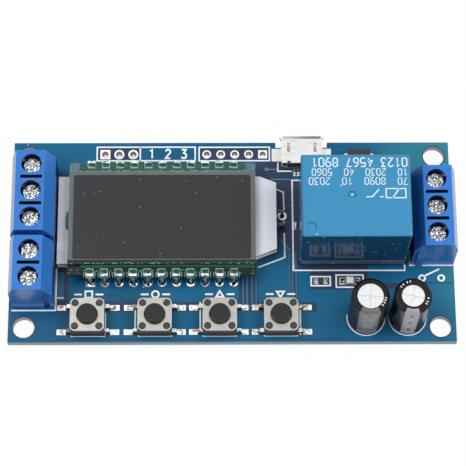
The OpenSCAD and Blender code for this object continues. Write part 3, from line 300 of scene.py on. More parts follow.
# %% Moulded grain
def make_moulded_grain():
    """Colour that drifts a little by a broad noise, a fine bump by a narrow one, and edges found by
    comparing the face's own direction with one that is averaged over a small radius. The edges take the
    edge colour, a painted highlight of the light that a rounded edge catches."""
    edge_starts, edge_full = 0.99, 0.80
    group, given, out = new_group(
        "moulded grain",
        [("Color", "Color", (0.5, 0.5, 0.5, 1)), ("Edge Color", "Color", (0.8, 0.8, 0.8, 1)),
         ("Edge Radius", "Float", 0.0001), ("Edge Share", "Float", 0.5), ("Drift Scale", "Float", 300.0),
         ("Drift", "Float", 0.1), ("Grain Scale", "Float", 4000.0), ("Relief", "Float", 0.2)],
        [("Color", "Color"), ("Normal", "Vector")])
    place = own_place(group)
    broad = noise(group, place, given["Drift Scale"], detail=3.0)
    swing = math_node(group, "SUBTRACT", broad, 0.5)
    tone = drifted(group, given["Color"], swing, given["Drift"])
    soft = rounded(group, given["Edge Radius"])
    hard = add_node(group, "ShaderNodeNewGeometry").outputs["Normal"]
    agree = vector_node(group, "DOT_PRODUCT", soft, hard, "Value")
    edge = math_node(group, "MULTIPLY", ramp(group, agree, edge_starts, edge_full), given["Edge Share"])
    grain = noise(group, place, given["Grain Scale"], detail=2.0)
    group.links.new(mix_colours(group, edge, tone, given["Edge Color"]), out["Color"])
    group.links.new(bumped(group, given["Relief"], grain, Normal=soft), out["Normal"])
    return group


MOULDED_GRAIN = make_moulded_grain()
print(MOULDED_GRAIN.name, "has", len(MOULDED_GRAIN.nodes), "nodes")


# %% Rolled metal
def make_rolled_metal():
    """Streaks from a noise that is squeezed across the rolling direction: they change tone, roughness
    and height."""
    group, given, out = new_group(
        "rolled metal",
        [("Color", "Color", (0.7, 0.7, 0.7, 1)), ("Stretch", "Vector", (1.0, 1.0, 1.0)),
         ("Scale", "Float", 2500.0), ("Drift", "Float", 0.15), ("Roughness", "Float", 0.3),
         ("Roughness Drift", "Float", 0.15), ("Relief", "Float", 0.3)],
        [("Color", "Color"), ("Roughness", "Float"), ("Normal", "Vector")])
    rolled = vector_node(group, "MULTIPLY", own_place(group), given["Stretch"])
    streak = noise(group, rolled, given["Scale"], detail=4.0)
    swing = math_node(group, "SUBTRACT", streak, 0.5)
    rough = math_node(group, "MULTIPLY_ADD", swing, given["Roughness Drift"], given["Roughness"])
    group.links.new(drifted(group, given["Color"], swing, given["Drift"]), out["Color"])
    group.links.new(rough, out["Roughness"])
    soft = rounded(group, METAL_EDGE)
    group.links.new(bumped(group, given["Relief"], streak, Normal=soft), out["Normal"])
    return group


ROLLED_METAL = make_rolled_metal()
print(ROLLED_METAL.name, "has", len(ROLLED_METAL.nodes), "nodes")


# %% Dust
def make_dust():
    """Small specks: space is split into cells, and a cell whose random value is low shows a dot at its
    middle."""
    group, given, out = new_group(
        "dust",
        [("Color", "Color", (0.1, 0.1, 0.1, 1)), ("Dust Color", "Color", (0.6, 0.6, 0.6, 1)),
         ("Scale", "Float", 900.0), ("Share", "Float", 0.15), ("Size", "Float", 0.18)],
        [("Color", "Color")])
    spread = {"Vector": own_place(group), "Scale": given["Scale"]}
    cells = add_node(group, "ShaderNodeTexVoronoi", spread).outputs
    chance = add_node(group, "ShaderNodeSeparateColor", {0: cells["Color"]}).outputs[0]
    chosen = math_node(group, "LESS_THAN", chance, given["Share"])
    dot = math_node(group, "LESS_THAN", cells["Distance"], given["Size"])
    speck = math_node(group, "MULTIPLY", chosen, dot)
    group.links.new(mix_colours(group, speck, given["Color"], given["Dust Color"]), out["Color"])
    return group


DUST = make_dust()
print(DUST.name, "has", len(DUST.nodes), "nodes")


# %% Box zone
def make_box_zone():
    """A mask that is 1 inside a box: the largest of the three distances from its middle, each as a
    share of the half size, is below 1."""
    group, given, out = new_group(
        "box zone",
        [("Middle", "Vector", (0.0, 0.0, 0.0)), ("Half Size", "Vector", (0.001, 0.001, 0.001))],
        [("Mask", "Float")])
    away = vector_node(group, "SUBTRACT", own_place(group), given["Middle"])
    share = vector_node(group, "ABSOLUTE", vector_node(group, "DIVIDE", away, given["Half Size"]))
    parts = add_node(group, "ShaderNodeSeparateXYZ", {0: share}).outputs
    largest = math_node(group, "MAXIMUM", math_node(group, "MAXIMUM", parts[0], parts[1]), parts[2])
    group.links.new(math_node(group, "LESS_THAN", largest, 1.0), out["Mask"])
    return group


BOX_ZONE = make_box_zone()
print(BOX_ZONE.name, "has", len(BOX_ZONE.nodes), "nodes")


# %% Speckle
def make_speckle():
    """Two colours split by a noise with a steep ramp, like metal that mirrors its surroundings in tiny
    facets: a dark second colour is a painted reflection. The same noise tilts the facets."""
    group, given, out = new_group(
        "speckle",
        [("Color", "Color", (0.8, 0.8, 0.8, 1)), ("Second Color", "Color", (0.1, 0.1, 0.1, 1)),
         ("Scale", "Float", 2500.0), ("Level", "Float", 0.5), ("Softness", "Float", 0.08),
         ("Relief", "Float", 0.6)],
        [("Color", "Color"), ("Normal", "Vector")])
    facets = noise(group, own_place(group), given["Scale"], detail=2.0)
    low = math_node(group, "SUBTRACT", given["Level"], given["Softness"])
    high = math_node(group, "ADD", given["Level"], given["Softness"])
    share = ramp(group, facets, low, high)
    group.links.new(mix_colours(group, share, given["Second Color"], given["Color"]), out["Color"])
    soft = rounded(group, METAL_EDGE)
    group.links.new(bumped(group, given["Relief"], facets, Normal=soft), out["Normal"])
    return group


SPECKLE = make_speckle()
print(SPECKLE.name, "has", len(SPECKLE.nodes), "nodes")

# %% [markdown]
# ## Plain builders for finishes
# Most finishes are one of a few kinds: a moulding with grain and edges, a metal with streaks or facets,
# or a film. A small function makes each kind, so a finish is a name, a colour and the few values that
# tell it from its neighbours. Colours are given as they look on screen and turned into linear light
# here, which is what the shader wants.

# %% Finish builders
def linear(red, green, blue):
    """A screen colour of 0 to 255 as linear light, by the standard curve: a short straight foot, then a
    power."""
    share = np.array([red, green, blue]) / 255
    value = np.where(share <= 0.04045, share / 12.92, ((share + 0.055) / 1.055) ** 2.4)
    return (*value.tolist(), 1.0)


def new_finish(name, **settings):
    """A material with its Principled shader; settings give plain values for that shader's sockets."""
    finish = bpy.data.materials.new(name)
    finish.use_nodes = True
    shader = finish.node_tree.nodes["Principled BSDF"]
    for key, value in settings.items():
        shader.inputs[key.replace("_", " ")].default_value = value
    return finish, finish.node_tree, shader


def add_group(tree, group, inputs):
    """Places a shared effect in a material with its own values."""
    return add_node(tree, "ShaderNodeGroup", inputs, node_tree=group).outputs


def connect(tree, made, shader):
    """Links every output of a shared effect to the shader's socket of that kind."""
    for output in made:
        tree.links.new(output, shader.inputs["Base Color" if output.name == "Color" else output.name])


def moulding(name, colour, edge, grain=None, **settings):
    """A moulded plastic: grain and edge colour from the shared effect, the rest plain."""
    finish, tree, shader = new_finish(name, **settings)
    values = {"Color": linear(*colour), "Edge Color": linear(*edge), **(grain or {})}
    connect(tree, add_group(tree, MOULDED_GRAIN, values), shader)
    return finish


def film(name, colour, grain=None, **settings):
    """A thin layer of lacquer or ink: a moulding whose edges keep its own colour."""
    return moulding(name, colour, colour, grain, **settings)


def metal(name, colour, streaks=None, **settings):
    """A bare metal: tone, roughness and height from the rolled streaks."""
    finish, tree, shader = new_finish(name, Metallic=1.0, **settings)
    connect(tree, add_group(tree, ROLLED_METAL, {"Color": linear(*colour), **(streaks or {})}), shader)
    return finish


def speckled(name, colour, second, facets=None, **settings):
    """A metal in two tones, split by the speckle."""
    finish, tree, shader = new_finish(name, Metallic=1.0, **settings)
    values = {"Color": linear(*colour), "Second Color": linear(*second), **(facets or {})}
    connect(tree, add_group(tree, SPECKLE, values), shader)
    return finish


def facing_parts(tree):
    """The three parts of the direction in which a face looks."""
    normal = add_node(tree, "ShaderNodeNewGeometry").outputs["Normal"]
    return add_node(tree, "ShaderNodeSeparateXYZ", {0: normal}).outputs


def dress(finish, *names):
    """Gives CAD nodes a finish in place of the plain one that they were packed with."""
    for name in names:
        nodes[name].data.materials.clear()
        nodes[name].data.materials.append(finish)


def numbered(stem, count):
    """The names of a row of like nodes."""
    return [f"{stem}_{i}" for i in range(1, count + 1)]


print("mid grey in linear light", [round(v, 3) for v in linear(128, 128, 128)])

# %% [markdown]
# ## Board
# The board is glass fibre with a blue lacquer over copper. Where copper lies under the lacquer it looks
# lighter, and the sawn edge shows pale grey fibre. Edge and faces could have a material each, but the
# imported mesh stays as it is, so one material does both: the lacquer drifts between two blues and turns
# a little green towards the relay's end, and faces that look sideways take the colour of the edge.

# %% Board finish
LACQUER_DEEP = (10, 84, 122)
LACQUER_LIGHT = (18, 98, 138)
LACQUER_TEAL = (44, 124, 142)
LACQUER_DUST = (120, 165, 190)
FIBRE_DEEP = (100, 118, 132)
FIBRE_LIGHT = (150, 164, 172)
TEAL_SLANT = (1.0, 0.35, 0.0)
TEAL_FROM = 30.5 * MM
TEAL_TO = 38.0 * MM


def board_finish():
    """Blue lacquer on faces that look up or down, grey fibre on the sawn edges and in the holes."""
    finish, tree, shader = new_finish("blue lacquer", Roughness=0.33, Specular_IOR_Level=0.2)
    place = own_place(tree)
    broad = ramp(tree, noise(tree, place, scale=38.0, detail=2.0), start=0.38, end=0.62)
    slant = vector_node(tree, "DOT_PRODUCT", place, TEAL_SLANT, "Value")
    blue = mix_colours(tree, broad, linear(*LACQUER_DEEP), linear(*LACQUER_LIGHT))
    blue = mix_colours(tree, ramp(tree, slant, TEAL_FROM, TEAL_TO), blue, linear(*LACQUER_TEAL))
    dust = {"Color": blue, "Dust Color": linear(*LACQUER_DUST), "Scale": 700.0, "Share": 0.05, "Size": 0.14}
    lacquer = add_group(tree, DUST, dust)["Color"]
    weave = noise(tree, place, scale=2600.0, detail=2.0)
    fibre = mix_colours(tree, weave, linear(*FIBRE_DEEP), linear(*FIBRE_LIGHT))
    flat = math_node(tree, "GREATER_THAN", math_node(tree, "ABSOLUTE", facing_parts(tree)[2]), 0.5)
    tree.links.new(mix_colours(tree, flat, fibre, lacquer), shader.inputs["Base Color"])
    tree.links.new(bumped(tree, 0.12, weave), shader.inputs["Normal"])
    return finish


dress(board_finish(), "board")
print("board finished")

# %% [markdown]
# ## Screw terminals
# The blocks are blue nylon with a low gloss, and a paler edge colour paints the line of light that
# their moulded edges catch, a painted highlight. The slope over the wire mouths is painted paler than
# the rest, a painted reflection of the bright room, and the screw wells and slots and the back face,
# which stands in a narrow gap, are painted dark as painted shade. These faces could be given materials
# of their own, but a mask needs no change to the mesh: it finds the slope and the back by the way their
# faces look, and a box zone inside the block finds the wells. The screws are plated steel, bright and a
# little pitted by the barrel they were plated in, and their dark speckle is a painted reflection of tiny
# facets. Clamp cages are plain plated steel, and the contacts are brass.

# %% Terminal finishes
# The second colour is a painted reflection on the outer slope, the third is painted shade in the wells and
# on the back, and the edge colour is a painted highlight.
NYLON = (48, 120, 204)
NYLON_PAINTED_REFLECTION = (140, 166, 222)
NYLON_PAINTED_SHADE = (5, 38, 92)
NYLON_EDGE_HIGHLIGHT = (150, 195, 250)
NYLON_GRAIN = {"Edge Radius": 0.00012, "Edge Share": 0.7, "Drift": 0.14, "Drift Scale": 260.0,
               "Grain Scale": 5200.0, "Relief": 0.25}
NYLON_COAT = 0.3
WELL_INSET = 0.08 * MM
END_INSET = 0.6 * MM
FLAT_FROM = 0.9 * MM
FLAT_WIDE = 4.95 * MM


def terminal_finish(node, outward):
    """Blue nylon: painted paler on the slope that looks outward and up, a painted reflection; painted
    dark in a box just under the block's flat top and on the back, which stands in a narrow gap, as
    painted shade, where the coat is taken away too."""
    low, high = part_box(node)
    finish, tree, shader = new_finish("nylon of " + node, Roughness=0.3, Specular_IOR_Level=0.12,
                                      Coat_Roughness=0.2)
    parts = facing_parts(tree)
    reach = math_node(tree, "MULTIPLY", parts[0], outward)
    back_face_in_shade = math_node(tree, "LESS_THAN", reach, -0.95)
    looks_out = math_node(tree, "GREATER_THAN", reach, 0.5)
    slope = math_node(tree, "MULTIPLY", looks_out, math_node(tree, "GREATER_THAN", parts[2], 0.25))
    middle = (low + high) / 2
    half = (high - low) / 2
    outer = high.x if outward > 0 else low.x
    well = add_group(tree, BOX_ZONE, {
        "Middle": (outer - outward * (FLAT_FROM + FLAT_WIDE / 2), middle.y, middle.z),
        "Half Size": (FLAT_WIDE / 2, half.y - END_INSET, half.z - WELL_INSET)})["Mask"]
    dark = math_node(tree, "MAXIMUM", well, back_face_in_shade)
    blue = mix_colours(tree, slope, linear(*NYLON), linear(*NYLON_PAINTED_REFLECTION))
    blue = mix_colours(tree, dark, blue, linear(*NYLON_PAINTED_SHADE))
    connect(tree, add_group(tree, MOULDED_GRAIN,
                            {"Color": blue, "Edge Color": linear(*NYLON_EDGE_HIGHLIGHT), **NYLON_GRAIN}), shader)
    tree.links.new(ramp(tree, dark, low=NYLON_COAT, high=0.0), shader.inputs["Coat Weight"])
    dress(finish, node)


for node, outward in zip(numbered("terminal_housing", 3), (-1, -1, 1)):
    terminal_finish(node, outward)
# The dark second colour of the screws' speckle is a painted reflection of tiny facets.
screw_plating = speckled("barrel plating", (236, 238, 240), (70, 74, 80),
                         {"Scale": 3000.0, "Level": 0.53, "Softness": 0.10, "Relief": 1.0}, Roughness=0.30)
dress(screw_plating, *numbered("terminal_screw", 8))
cage_steel = metal("clamp cage plating", (190, 192, 194), {"Stretch": (0.2, 1.0, 1.0), "Relief": 0.4})
dress(cage_steel, *numbered("terminal_cage", 8))
contact_brass = metal("contact brass", (214, 178, 104), {"Stretch": (1.0, 0.2, 1.0), "Relief": 0.3})
dress(contact_brass, "terminal_contacts")
print("terminal finishes", screw_plating.name, cage_steel.name, contact_brass.name)

# %% [markdown]
# ## Display
# Two plates of glass hold the liquid, and a dark film over the front makes the window. The glass is a
# touch green at its edges. Under it sits a white tray with a milky light guide and a frosted film. The
# dark film shows dust, as such films do, and the segments are off. Fully clear glass would only show
# the white floor round it, so the front plate lets a part of the light through and has a tint of its
# own. Along the lower edge of each plate the glass is painted dark as painted shade, and the tray's
# faces that look to the buttons are painted grey as painted shade under the glass.

# %% Glass and window
# The shade colour is painted shade on the glass below a line.
GLASS_PAINTED_SHADE = (30, 44, 54)
GLASS_EDGE = (206, 224, 216)
GLASS_GRAIN = {"Edge Radius": 0.00006, "Edge Share": 0.8, "Drift": 0.2, "Drift Scale": 180.0,
               "Grain Scale": 900.0, "Relief": 0.02}
WINDOW_WARM = (36, 34, 38)
WINDOW_COLD = (42, 40, 46)
WINDOW_DUST = (130, 130, 134)
WINDOW_MARGIN = 0.2 * MM


def glass_finish(name, colour, clear, shaded_below):
    """Glass with a green tint; the colour drifts so slightly that it reads as depth. Below one line on
    the board the glass is painted dark: a painted shadow, as where it only shows the shadow under it."""
    finish, tree, shader = new_finish(name, Roughness=0.06, IOR=1.5, Transmission_Weight=clear)
    along = add_node(tree, "ShaderNodeSeparateXYZ", {0: own_place(tree)}).outputs[1]
    shaded = math_node(tree, "LESS_THAN", along, shaded_below)
    tint = mix_colours(tree, shaded, linear(*colour), linear(*GLASS_PAINTED_SHADE))
    made = add_group(tree, MOULDED_GRAIN, {"Color": tint, "Edge Color": linear(*GLASS_EDGE), **GLASS_GRAIN})
    tree.links.new(made["Color"], shader.inputs["Base Color"])
    return finish


def window_finish():
    """Dark film: a near black that drifts between warm and cold, with specks of dust."""
    finish, tree, shader = new_finish("dark window film", Roughness=0.22, Specular_IOR_Level=0.4)
    broad = noise(tree, own_place(tree), scale=60.0, detail=2.0)
    dark = mix_colours(tree, broad, linear(*WINDOW_WARM), linear(*WINDOW_COLD))
    dust = {"Color": dark, "Dust Color": linear(*WINDOW_DUST), "Scale": 1100.0, "Share": 0.12, "Size": 0.13}
    connect(tree, add_group(tree, DUST, dust), shader)
    return finish


shadow_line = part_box("lcd_front_glass")[0].y
window_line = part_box("lcd_polarizer")[0].y - WINDOW_MARGIN
dress(glass_finish("rear glass", (222, 234, 230), 0.94, shadow_line), "lcd_rear_glass")
dress(glass_finish("front glass", (144, 160, 156), 0.6, window_line), "lcd_front_glass")
dress(window_finish(), "lcd_polarizer")
print("glass is dark below", round(shadow_line / MM, 2), "and", round(window_line / MM, 2), "mm")

# %% Tray and leads
# The grey is painted shade on the faces under the glass's overhang, and the edge colour is a painted
# highlight.
TRAY_PAINTED_SHADE = (60, 62, 68)
TRAY_EDGE_HIGHLIGHT = (250, 250, 252)
TRAY_GRAIN = {"Edge Radius": 0.0001, "Edge Share": 0.6, "Drift": 0.06}


def tray_finish(name, colour):
    """White moulding, painted grey on the upright faces that look to the buttons, where the glass
    overhangs it: painted shade. Its white edge colour is a painted highlight."""
    finish, tree, shader = new_finish(name, Roughness=0.6, Specular_IOR_Level=0.2)
    ahead = math_node(tree, "LESS_THAN", facing_parts(tree)[1], -0.6)
    white = mix_colours(tree, ahead, linear(*colour), linear(*TRAY_PAINTED_SHADE))
    values = {"Color": white, "Edge Color": linear(*TRAY_EDGE_HIGHLIGHT), **TRAY_GRAIN}
    connect(tree, add_group(tree, MOULDED_GRAIN, values), shader)
    return finish


dress(tray_finish("tray moulding", (244, 249, 255)), "backlight_tray")
dress(tray_finish("milky guide", (228, 231, 240)), "backlight_guide")
dress(tray_finish("frosted film", (232, 234, 244)), "backlight_diffuser")
tinned = metal("tinned strip", (222, 224, 222),
               {"Scale": 1900.0, "Drift": 0.3, "Roughness": 0.30, "Relief": 0.6})
dress(tinned, "relay_pins")
stained_tin = speckled("resin-stained tin", (230, 240, 235), (96, 138, 122),
                       {"Scale": 1300.0, "Level": 0.47}, Roughness=0.3)
dress(stained_tin, "lcd_pins")
dress(metal("dull wire", (74, 74, 78), {"Roughness": 0.5}), "backlight_leads")
worn_tin = speckled("tin over brass", (226, 224, 220), (118, 94, 72),
                    {"Scale": 900.0, "Level": 0.48}, Roughness=0.32)
dress(worn_tin, "button_leads")
print("display finishes,", len(bpy.data.materials), "materials so far")

# %% [markdown]
# ## Buttons
# Each button is a black moulded base under a stamped steel plate, with a round charcoal plunger. The
# plate could be rolled metal like the rest, but the pale highlights on its edges are what the eye finds
# first, so it uses the moulding's edge colour as a painted highlight, with a metal's gloss. The plunger
# is dull, with a grain that breaks its highlight, and a paler edge colour as a painted highlight.

# %% Button finishes
# Each paler edge colour here is a painted highlight on the edges.
button_base = moulding("button base", (30, 29, 30), (70, 68, 66), {"Edge Radius": 0.00008, "Drift": 0.2},
                       Roughness=0.45)
dress(button_base, "button_bases")
button_cap = moulding("button plunger", (27, 27, 29), (140, 140, 142),
                      {"Edge Radius": 0.00010, "Edge Share": 0.8, "Drift": 0.25, "Grain Scale": 5200.0,
                       "Relief": 0.9}, Roughness=0.42, Specular_IOR_Level=0.25)
dress(button_cap, *numbered("button_plunger", 4))
button_plate = moulding("button plate", (160, 159, 153), (240, 239, 234),
                        {"Edge Radius": 0.00014, "Edge Share": 0.8, "Drift": 0.30, "Drift Scale": 900.0,
                         "Grain Scale": 3200.0, "Relief": 0.7}, Metallic=1.0, Roughness=0.36)
dress(button_plate, "button_covers", *numbered("button_dome", 4))
print("button finishes", button_base.name, button_cap.name, button_plate.name)

# %% [markdown]
# ## Relay
# The relay's cover is a glossy blue moulding. Its top is painted paler and its upright sides deeper:
# painted light on the top and painted shade on the sides. Dust clings to the sides. Top and sides could
# be two materials, but the way a face looks tells them apart without touching the mesh. Inside, hidden
# while the cover is on, are an ivory bobbin, a copper winding and soft iron. They are finished too,
# because a cover can come off.

# %% Relay finishes
# The side colour is painted shade and the top colour painted light on one moulding; the edge colour is a
# painted highlight.
RELAY_SHADED_SIDE = (22, 78, 116)
RELAY_LIT_TOP = (64, 140, 184)
RELAY_DUST = (170, 206, 226)
RELAY_EDGE_HIGHLIGHT = (124, 184, 216)
RELAY_GRAIN = {"Edge Radius": 0.00016, "Edge Share": 0.3, "Drift": 0.06, "Drift Scale": 90.0,
               "Grain Scale": 2400.0, "Relief": 0.10}


def relay_finish():
    """Blue moulding with pale specks of dust: the top is painted pale as lit and is dull, the upright
    sides are painted deep as shaded and are glossy."""
    finish, tree, shader = new_finish("relay moulding", Specular_IOR_Level=0.15)
    flat = math_node(tree, "GREATER_THAN", facing_parts(tree)[2], 0.4)
    blue = mix_colours(tree, flat, linear(*RELAY_SHADED_SIDE), linear(*RELAY_LIT_TOP))
    chance = ramp(tree, flat, low=0.7, high=0.06)
    dust = {"Color": blue, "Dust Color": linear(*RELAY_DUST), "Scale": 800.0, "Share": chance, "Size": 0.13}
    dusty = add_group(tree, DUST, dust)["Color"]
    values = {"Color": dusty, "Edge Color": linear(*RELAY_EDGE_HIGHLIGHT), **RELAY_GRAIN}
    connect(tree, add_group(tree, MOULDED_GRAIN, values), shader)
    tree.links.new(ramp(tree, flat, low=0.13, high=0.3), shader.inputs["Roughness"])
    return finish


dress(relay_finish(), "relay_cover", "relay_base")
bobbin = moulding("bobbin moulding", (226, 218, 192), (244, 240, 224), {"Drift": 0.08}, Roughness=0.45)
dress(bobbin, "relay_bobbin")
winding = metal("enamelled winding", (188, 104, 56),
                {"Stretch": (6.0, 0.3, 0.3), "Scale": 1600.0, "Drift": 0.5, "Relief": 1.0})
dress(winding, "relay_winding")
soft_iron = metal("soft iron", (168, 168, 170), {"Stretch": (0.3, 1.0, 1.0), "Roughness": 0.4})
dress(soft_iron, "relay_yoke", "relay_armature")
print("relay finishes", bobbin.name, winding.name, soft_iron.name)

# %% [markdown]
# ## Capacitors, socket, small parts and solder
# The capacitors wear a shrunk black sleeve over an aluminium can. The socket is a folded bright shell
# round a black tongue. Diode, resistor, light and chips are each one solid, which could be cut into
# body and ends, but a box zone tells their bodies from their tinned ends as well. Solder is bright and
# uneven.

# %% Capacitor, socket and solder finishes
sleeve = moulding("shrunk sleeve", (15, 15, 17), (44, 44, 48),
                  {"Edge Radius": 0.0002, "Edge Share": 0.4, "Drift": 0.3, "Grain Scale": 1500.0,
                   "Relief": 0.08}, Roughness=0.26, Specular_IOR_Level=0.22)
dress(sleeve, "capacitor_sleeves")
can_metal = metal("can aluminium", (213, 213, 214),
                  {"Scale": 3400.0, "Drift": 0.25, "Roughness": 0.30, "Relief": 0.3})
dress(can_metal, "capacitor_cans")
shell = metal("socket shell", (210, 210, 209),
              {"Stretch": (0.25, 1.0, 1.0), "Scale": 1500.0, "Drift": 0.2, "Roughness": 0.34,
               "Relief": 0.3})
dress(shell, "usb_shell")
socket_black = moulding("socket moulding", (24, 24, 25), (60, 60, 62), {"Drift": 0.2}, Roughness=0.45)
dress(socket_black, "usb_insulator")
dress(metal("contact spring", (84, 80, 74), {"Stretch": (1.0, 0.2, 1.0), "Drift": 0.4}), "usb_contacts")
solder = metal("bright solder", (206, 208, 208),
               {"Scale": 1400.0, "Drift": 0.4, "Roughness": 0.24, "Relief": 1.0})
dress(solder, "solder_joints")
print("capacitor, socket and solder finishes", sleeve.name, can_metal.name, shell.name, solder.name)

# %% Bodies with tinned ends
# The bodies' paler edge colours are painted highlights on their edges.
LEAD_TIN = (220, 222, 220)
BODY_GRAIN = {"Drift": 0.3, "Edge Radius": 0.00006, "Grain Scale": 5000.0, "Relief": 0.4}
WHOLE = 2.0
EPOXY = (24, 24, 26)
EPOXY_EDGE = (64, 64, 68)


def leaded_finish(name, node, body_share, body, edge, roughness):
    """Body colour inside a box that is a share of the node's own box on each axis, bright tin outside
    it."""
    low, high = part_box(node)
    finish, tree, shader = new_finish(name, Roughness=roughness)
    half = [share * size / 2 for share, size in zip(body_share, high - low)]
    inside = add_group(tree, BOX_ZONE, {"Middle": (low + high) / 2, "Half Size": half})["Mask"]
    values = {"Color": linear(*body), "Edge Color": linear(*edge), **BODY_GRAIN}
    made = add_group(tree, MOULDED_GRAIN, values)
    tree.links.new(mix_colours(tree, inside, linear(*LEAD_TIN), made["Color"]), shader.inputs["Base Color"])
    tree.links.new(math_node(tree, "SUBTRACT", 1.0, inside), shader.inputs["Metallic"])
    tree.links.new(made["Normal"], shader.inputs["Normal"])
    dress(finish, node)


leaded_finish("diode epoxy", "flyback_diode", (0.80, WHOLE, WHOLE), (22, 22, 24), (70, 70, 74), 0.4)
leaded_finish("resistor glaze", "chip_resistor", (0.62, WHOLE, WHOLE), (58, 58, 62), (130, 130, 132), 0.3)
leaded_finish("light epoxy", "status_light", (0.62, WHOLE, WHOLE), (225, 231, 218), (244, 248, 244), 0.15)
leaded_finish("controller epoxy", "controller_chip", (0.80, 0.80, WHOLE), EPOXY, EPOXY_EDGE, 0.45)
leaded_finish("regulator epoxy", "regulator_chip", (WHOLE, 0.55, WHOLE), EPOXY, EPOXY_EDGE, 0.45)
leaded_finish("driver epoxy", "driver_chip", (WHOLE, 0.55, WHOLE), EPOXY, EPOXY_EDGE, 0.45)
print("materials", len(bpy.data.materials))

# %% [markdown]
# ## Surfaces from arrays
# Copper, print and solder are thin films with simple outlines. Each could be drawn as a curve, but here
# each is a surface: a grid of points worked out from two parameters, as one array. A few formulas are
# enough: a strip along a path, a ring, a revolved profile and a rounded dome. One function joins the
# grids of a piece and lets it ride. From here on, sizes and places are in millimetres.

# %% Mesh builder
WELD_MM = 0.0005


def box_mm(name):
    """A node's lowest and highest corner in mm, as arrays."""
    low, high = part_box(name)
    return np.array(low) / MM, np.array(high) / MM


def grid_faces(rows, columns, wrap):
    """Quads of a grid of points, row by row; wrap joins the last row to the first."""
    i, j = np.meshgrid(np.arange(rows if wrap else rows - 1), np.arange(columns - 1), indexing="ij")
    k = (i + 1) % rows
    corners = [i * columns + j, k * columns + j, k * columns + j + 1, i * columns + j + 1]
    return np.stack(corners, axis=-1).reshape(-1, 4)


def add_piece(name, sheets, finish, thickness=0.0, smooth=False):
    """Joins grids of points, given in mm as (grid, wrap), into one object that rides on the board.
    Points that meet are merged, so seams and poles are closed, and a thickness grows back from the
    surface."""
    points, faces, start = [], [], 0
    for grid, wrap in sheets:
        rows, columns = grid.shape[:2]
        points.append(grid.reshape(-1, 3))
        faces.append(grid_faces(rows, columns, wrap) + start)
        start += rows * columns
    mesh = bpy.data.meshes.new(name)
    mesh.from_pydata((np.concatenate(points) * MM).tolist(), [], np.concatenate(faces).tolist())
    welded = bmesh.new()
    welded.from_mesh(mesh)
    bmesh.ops.remove_doubles(welded, verts=welded.verts, dist=WELD_MM * MM)
    welded.to_mesh(mesh)
    welded.free()
    mesh.polygons.foreach_set("use_smooth", np.full(len(mesh.polygons), smooth))
    mesh.materials.append(finish)
    piece = bpy.data.objects.new(name, mesh)
    scene.collection.objects.link(piece)
    if thickness:
        wall_maker = piece.modifiers.new("film", "SOLIDIFY")
        wall_maker.thickness = thickness * MM
        wall_maker.offset = -1.0
    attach(piece, "module")
    print(name, len(mesh.polygons), "faces")
    return piece


print("a grid of 3 by 4 points has", len(grid_faces(3, 4, False)), "faces")

# %% Flat shapes
SHARPEST = 0.5


def at_height(flat, z):
    """A grid of flat points, lifted to one height."""
    return np.concatenate([flat, np.full((*flat.shape[:2], 1), z)], axis=2)


def strip(path, width, z, closed=False):
    """A flat ribbon: each point of the path moves half the width to either side, along the mean of the
    normals of the two legs that meet there, lengthened so that the ribbon keeps its width round a
    corner."""
    path = np.asarray(path, float)
    legs = (np.roll(path, -1, axis=0) - path) if closed else np.diff(path, axis=0)
    normals = np.stack([-legs[:, 1], legs[:, 0]], axis=1) / np.linalg.norm(legs, axis=1)[:, None]
    after = normals if closed else np.concatenate([normals, normals[-1:]])
    before = np.roll(normals, 1, axis=0) if closed else np.concatenate([normals[:1], normals])
    side = (before + after) / np.maximum(1 + (before * after).sum(axis=1), SHARPEST)[:, None]
    return at_height(np.stack([path - side * width / 2, path + side * width / 2], axis=1), z), closed


def plate(low, high, z):
    """A rectangle, as a ribbon along its middle line."""
    middle = (low[1] + high[1]) / 2
    return strip([(low[0], middle), (high[0], middle)], high[1] - low[1], z)


def box_outline(low, high, width, z):
    """The four sides of a rectangle, as one closed ribbon."""
    return strip([low, (high[0], low[1]), high, (low[0], high[1])], width, z, closed=True)


def ring(middle, inner, outer, z, square=False, steps=32):
    """A flat ring over angle and radius; a square one stretches the outer radius to the sides of a
    square."""
    angle = np.linspace(0, 2 * np.pi, steps, endpoint=False)
    turn = np.stack([np.cos(angle), np.sin(angle)], axis=1)
    reach = outer / np.abs(turn).max(axis=1) if square else np.full(steps, outer)
    flat = np.stack([turn * reach[:, None], turn * inner], axis=1) + np.asarray(middle, float)
    return at_height(flat, z), True


def arc(middle, radius, start_deg, end_deg, steps=24):
    """Points along part of a circle."""
    angle = np.radians(np.linspace(start_deg, end_deg, steps))
    return np.asarray(middle) + radius * np.stack([np.cos(angle), np.sin(angle)], axis=1)


def below(sheet):
    """The same sheet with its faces turned down."""
    grid, wrap = sheet
    return grid[:, ::-1], wrap


print("a square ring has", ring((0, 0), 1, 2, 0, square=True)[0].shape[0], "columns")


# %% Raised shapes
def turned(profile, middle, angle):
    """A profile of (radius, height) points carried round an upright axis, one copy at each angle."""
    radius, height = np.asarray(profile, float).T
    x = middle[0] + radius * np.cos(angle)
    y = middle[1] + radius * np.sin(angle)
    return np.stack([x, y, np.broadcast_to(height, x.shape)], axis=2)


def revolve(profile, middle, steps=24):
    """A profile turned all the way round."""
    return turned(profile, middle, np.linspace(0, 2 * np.pi, steps, endpoint=False)[:, None]), True


def patch(profile, middle, start_deg, end_deg, steps=16):
    """Part of a turned profile, between two angles."""
    return turned(profile, middle, np.radians(np.linspace(start_deg, end_deg, steps))[:, None]), False


